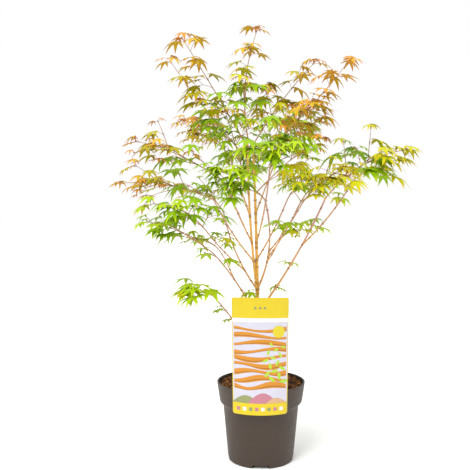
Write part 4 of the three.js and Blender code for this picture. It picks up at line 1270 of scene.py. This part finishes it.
def card_shape(shape, settings):
    """The card: its front and its back are grids of rows and columns, joined round the edge.
    Near its two ends its half width is less by corner - sqrt(corner^2 - (corner - d)^2), where
    d is the distance to the end."""
    corner, height = LABEL.corner, settings.height / MM
    bend = corner * (1 - np.cos(np.linspace(0, np.pi / 2, LABEL.corner_rows)))
    straight = np.linspace(corner, height - corner, LABEL.rows)[1:-1]
    rows = np.concatenate([bend, straight, height - bend[::-1]])
    near = np.minimum(rows, height - rows)
    loss = np.where(near < corner, corner - np.sqrt(np.maximum(corner**2 - (corner - near) ** 2, 0)), 0)
    wide, high = LABEL.columns, len(rows)
    x = (settings.width / MM / 2 - loss)[:, None] * np.linspace(-1, 1, wide)
    z = rows[:, None] * np.ones_like(x)
    faces, layer = grid_faces(high, wide), wide * high
    number = np.arange(layer).reshape(high, wide)
    border = np.concatenate([number[0], number[1:, -1], number[-1, -2::-1], number[-2:0:-1, 0]])
    following = np.roll(border, -1)
    edge = np.stack([border, border + layer, following + layer, following], axis=1)
    sheets = np.stack([card_point(x, z), card_point(x, z, -LABEL.thickness)])
    shape.add(sheets, np.concatenate([flipped(faces), faces + layer, edge]))


def tongue_shape(shape):
    """The tongue: a rectangle carried along a line that leaves the card's back, runs over
    the lip and bends down inside the pot."""
    top, end = POT.height + LABEL.tongue_over + LABEL.thickness / 2, LABEL.tongue_end
    start = card_point(0.0, top - LABEL.foot, -LABEL.thickness)[1] - LABEL.tongue_into
    line = rounded([(start, top), (end, top), (end, top - LABEL.tongue_drop)], [LABEL.tongue_bend], 6)
    along = unit(np.gradient(line, axis=0))
    across = np.stack([-along[:, 1], along[:, 0]], axis=1) * LABEL.thickness / 2
    half, count = LABEL.tongue_width / 2, len(line)
    rows = []
    for hand, sign in ((-1, 1), (1, 1), (1, -1), (-1, -1)):
        edge = line + sign * across
        rows.append(np.stack([np.full(count, LABEL.centre + hand * half), *edge.T], axis=1))
    last = 4 * (count - 1)
    ends = [(0, 1, 2, 3), (last + 3, last + 2, last + 1, last)]
    shape.add(np.stack(rows, axis=1), np.concatenate([grid_faces(count, 4, True), ends]))


def band(shape, slot, left, right, low, high, off, columns=28, rows=6):
    """A printed rectangle: a grid between two sides and two heights, on the card."""
    add_print(shape, slot, *np.meshgrid(np.linspace(left, right, columns), np.linspace(low, high, rows)), off)


def disc(shape, slot, x, z, radius, off, squash=1.0, turn=0.0, sides=28):
    """A printed disc or oval: a fan of points at radius (cos a, squash sin a), turned."""
    u, v = radius * np.cos(circle(sides)), radius * squash * np.sin(circle(sides))
    px = np.append(x, x + u * math.cos(turn) - v * math.sin(turn))
    pz = np.append(z, z + u * math.sin(turn) + v * math.cos(turn))
    shape.add(card_point(px, pz, off), fan(0, 1, sides), slots=slot)


def wave(shape, slot, level, width, off, half, rise, length, phase):
    """A printed wavy bar: its middle line is level + rise sin(2 pi (x / length + phase)), and
    its width swells and thins along it, width (1 + 0.4 sin(2 pi (x / length + 1.7 phase)))."""
    x, share = np.meshgrid(np.linspace(-half, half, 60), np.linspace(-0.5, 0.5, 5))
    round_trip = 2 * np.pi * x / length
    middle = level + rise * np.sin(round_trip + 2 * np.pi * phase)
    thick = width * (1 + 0.4 * np.sin(round_trip + 3.4 * np.pi * phase))
    add_print(shape, slot, x, middle + share * thick, off)


def label_print(art, half, high):
    """The whole print: a white strip over a pale panel, plain diamonds in the header, golden
    bars with an amber line in the lower half of each, ovals strewn over the right, a disc,
    low hills along the foot of the panel, and a row of squares in the footer."""
    edge, panel_edge = half - STRIP.inset, half - PANEL.inset
    band(art, WHITE, -edge, edge, high - STRIP.foot, high - STRIP.head, INK.ground)
    band(art, PALE, -panel_edge, panel_edge, PANEL.foot, high - PANEL.head, INK.ground, 56, 48)
    for i in range(DIAMONDS.count):
        first, step = DIAMONDS.across
        disc(art, GREY, first + step * i, high - DIAMONDS.head, DIAMONDS.radius, INK.ground, sides=4)
    for i in range(BARS.count):
        level, width, length = (first + step * i for first, step in (BARS.level, BARS.width, BARS.length))
        like = {"half": half - BARS.inset, "rise": BARS.rise, "length": length, "phase": BARS.phase * i}
        wave(art, GOLD, level, width, INK.bars, **like)
        wave(art, AMBER, level - BARS.line_drop * width, BARS.line_width * width, INK.lines, **like)
    for i in range(OVALS.count):
        level, radius = (first + step * i for first, step in (OVALS.level, OVALS.radius))
        x = half - OVALS.inset - OVALS.reach * (i * OVALS.strewn % 1)
        disc(art, LEAF, x, level, radius, INK.ovals, OVALS.squash, OVALS.turn * i)
    disc(art, YELLOW, half - DISC.inset, DISC.level, DISC.radius, INK.disc, sides=40)
    across, share = np.meshgrid(np.linspace(-1, 1, 25), np.linspace(0, 1, 6))
    for slot, middle, wide, top in HILLS:
        z = PANEL.foot + share * top * np.cos(across * np.pi / 2)
        add_print(art, slot, (middle + across * wide) * half, z, INK.hills[0] + INK.hills[1] * slot)
    for i in range(SQUARES.count):
        left = -half + SQUARES.across[0] + SQUARES.across[1] * i
        low, high = SQUARES.foot, SQUARES.foot + SQUARES.size
        band(art, (ROSE, WHITE, GREY)[i % 3], left, left + SQUARES.size, low, high, INK.ground, 5)


# Operators
def hand_over(piece, slot, *nodes):
    """Parents a piece to the body that it rides on, and hides the parts of the model that it replaces. The
    slot is not used.
    """
    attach(piece, BODY)
    if nodes:
        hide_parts(*nodes)


class MAPLE_OT_make_pot(bpy.types.Operator):
    """Makes the turned nursery pot"""

    bl_idname = "maple.make_pot"
    bl_label = "Make Pot"

    def execute(self, context):
        settings = context.scene.maple_pot
        shape = Shape()
        surface, crease = pot_surface(settings)
        add_turning(shape, surface, crease=crease)
        hand_over(shape.piece("nursery_pot", [moulded_polypropylene(settings.plastic)]), "pot", "pot")
        return {"FINISHED"}


class MAPLE_OT_make_compost(bpy.types.Operator):
    """Makes the compost and the bark chips on it"""

    bl_idname = "maple.make_compost"
    bl_label = "Make Compost"

    def execute(self, context):
        settings = context.scene.maple_pot
        fill, chips = Shape(), Shape()
        add_turning(fill, compost_surface())
        # The fine compost's second colour is painted shade for its hollows
        fine = composted_bark("Fine compost", settings.compost, shaded(settings.compost, 0.35))
        hand_over(fill.piece("compost", [fine]), "compost", "soil")
        points, faces, slots = bark_chips(settings.chips)
        chips.add(points, faces, slots=slots)
        tones = []
        for i, tone in enumerate(CHIPS.tones):
            # dark is the painted shade for the hollows of each chip
            light, dark = shaded(settings.chip, tone), shaded(settings.chip, CHIPS.pits * tone)
            tones.append(composted_bark(f"Composted bark chip {i + 1}", light, dark))
        hand_over(chips.piece("bark_chips", tones, smooth=False), "compost")
        return {"FINISHED"}


class MAPLE_OT_make_label(bpy.types.Operator):
    """Makes the plant label and its print"""

    bl_idname = "maple.make_label"
    bl_label = "Make Label"

    def execute(self, context):
        settings = context.scene.maple_label
        card, art = Shape(), Shape()
        card_shape(card, settings)
        tongue_shape(card)
        yellow = printed_card("Polypropylene card, yellow", settings.header)
        hand_over(card.piece("label_card", [yellow]), "label", "label")
        label_print(art, settings.width / MM / 2, settings.height / MM)
        own = (settings.picture, settings.bars, shaded(settings.bars, 0.6))
        colours = [linear(code) for code in INKS.values() if code]
        colours[1:1] = own
        inks = [printed_card(f"Printed {name}", colour) for name, colour in zip(INKS, colours)]
        hand_over(art.piece("label_print", inks), "label")
        return {"FINISHED"}


class MAPLE_OT_make_bark(bpy.types.Operator):
    """Makes the trunk, the leader and the boughs with the relief of their bark"""

    bl_idname = "maple.make_bark"
    bl_label = "Make Bark"

    def execute(self, context):
        settings = context.scene.maple_bark
        limbs = grown_limbs()
        forks = {name: [] for name in limbs}
        for limb in limbs.values():
            if limb.parent:
                forks[limb.parent[0]].append(limb.parent[1])
        gold = living_bark("Golden maple bark", settings.gold, shaded(settings.gold, 0.9), settings.ring)
        salmon = living_bark("Salmon maple bark", settings.gold, settings.salmon, settings.ring)
        for name, material, slot, members in (
            ("trunk_bark", gold, "bark", ["trunk"]),
            ("leader_bark", gold, "bark", ["leader_left"]),
            ("bough_bark", salmon, "shoots", [name for name in limbs if name.startswith("bough")]),
        ):
            shape = Shape()
            for member in members:
                limb_mesh(shape, limbs[member], forks[member], settings)
            hand_over(shape.piece(name, [material]), slot, *members)
        return {"FINISHED"}


class MAPLE_OT_grow_foliage(bpy.types.Operator):
    """Grows the twigs and leaves of every mass by the seeded rule"""

    bl_idname = "maple.grow_foliage"
    bl_label = "Grow Foliage"

    def execute(self, context):
        settings = context.scene.maple_leaves
        ring = context.scene.maple_bark.ring
        twig_bark = living_bark("Young twig bark", settings.twig, shaded(settings.twig, 0.8), ring)
        stalk = living_bark("Leaf stalk skin", settings.stalk, settings.stalk, settings.stalk)
        skins = {}
        for name, tints in TINTS.items():
            names = (f"Maple leaf, {name}", f"Maple leaf tip, {name}")
            skins[name] = [living_leaf(*skin) for skin in zip(names, map(linear, tints))]
        for mass in Crown(grown_limbs()).masses:
            blades, shoots = Shape(), Shape()
            leaf_blades(blades, mass, settings)
            tints = [skin for name in tint_names(mass.tints) for skin in skins[name]]
            nodes = [f"foliage_{mass.name}"] if mass.stem else []
            hand_over(blades.piece(f"leaves_{mass.name}", tints), f"leaves_{mass.slot}", *nodes)
            mass_twigs(shoots, mass)
            hand_over(shoots.piece(f"twigs_{mass.name}", [twig_bark, stalk]), "shoots")
        return {"FINISHED"}


class MAPLE_OT_set_stage(bpy.types.Operator):
    """Sets the floor, the lights and the camera"""

    bl_idname = "maple.set_stage"
    bl_label = "Set Stage"

    def execute(self, context):
        scene, settings = context.scene, context.scene.maple_stage
        shape, angle = Shape(), circle(48)
        rim = np.stack([np.cos(angle), np.sin(angle), 0 * angle], axis=1) * FLOOR_RADIUS
        shape.add(np.append(rim, np.zeros((1, 3)), axis=0), fan(48, 0, 48))
        shape.piece("floor", [painted_floor(settings.floor)])
        scene.world = bpy.data.worlds.new("Studio")
        scene.world.use_nodes = True
        background = scene.world.node_tree.nodes["Background"]
        background.inputs["Color"].default_value = (1.0, 1.0, 1.0, 1.0)
        background.inputs["Strength"].default_value = settings.sky
        for name, place, size, share in LAMPS:
            lamp = bpy.data.lights.new(name, "AREA")
            lamp.shape, lamp.size, lamp.energy = "DISK", size, settings.key * share
            aim = np.array(AIM) - place
            tilt = math.acos(-aim[2] / np.linalg.norm(aim))
            self.place(scene, lamp, place, (tilt, 0.0, math.atan2(aim[1], aim[0]) - math.pi / 2))
        sun = bpy.data.lights.new("Sky light", "SUN")
        sun.energy, sun.angle = SUN.strength, math.radians(SUN.width)
        self.place(scene, sun, (0, 0, 0), [math.radians(turn) for turn in SUN.turn])
        lens = bpy.data.cameras.new("Camera")
        lens.lens, lens.sensor_width, lens.clip_start, lens.clip_end = CAMERA.lens, 36.0, 0.05, 60.0
        scene.camera = self.place(scene, lens, CAMERA.place, CAMERA.turn)
        scene.view_settings.view_transform = "Standard"
        return {"FINISHED"}

    def place(self, scene, data, location, rotation):
        """Puts a lamp or the camera in the scene, and gives its object back."""
        thing = bpy.data.objects.new(data.name, data)
        thing.location, thing.rotation_euler = location, rotation
        scene.collection.objects.link(thing)
        return thing


class MAPLE_PT_panel(bpy.types.Panel):
    """Lists the steps that build the potted maple"""

    bl_label = "Potted Maple"
    bl_idname = "MAPLE_PT_panel"
    bl_space_type = "VIEW_3D"
    bl_region_type = "UI"
    bl_category = "Maple"

    def draw(self, context):
        for operator, group in STEPS:
            box = self.layout.box()
            box.operator(operator.bl_idname)
            settings = getattr(context.scene, group)
            for name in settings.__annotations__:
                box.prop(settings, name)


STEPS = (
    (MAPLE_OT_set_stage, "maple_stage"),
    (MAPLE_OT_make_pot, "maple_pot"),
    (MAPLE_OT_make_compost, "maple_pot"),
    (MAPLE_OT_make_label, "maple_label"),
    (MAPLE_OT_make_bark, "maple_bark"),
    (MAPLE_OT_grow_foliage, "maple_leaves"),
)
GROUPS = {
    "maple_pot": MaplePotSettings,
    "maple_label": MapleLabelSettings,
    "maple_bark": MapleBarkSettings,
    "maple_leaves": MapleLeafSettings,
    "maple_stage": MapleStageSettings,
}
CLASSES = (*GROUPS.values(), *(operator for operator, _ in STEPS), MAPLE_PT_panel)


def register():
    for cls in CLASSES:
        bpy.utils.register_class(cls)
    for name, group in GROUPS.items():
        setattr(bpy.types.Scene, name, bpy.props.PointerProperty(type=group))


def unregister():
    for name in GROUPS:
        delattr(bpy.types.Scene, name)
    for cls in reversed(CLASSES):
        bpy.utils.unregister_class(cls)


def main():
    register()
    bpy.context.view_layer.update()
    for operator, _ in STEPS:
        group, name = operator.bl_idname.split(".")
        getattr(getattr(bpy.ops, group), name)()


if __name__ == "__main__":
    main()
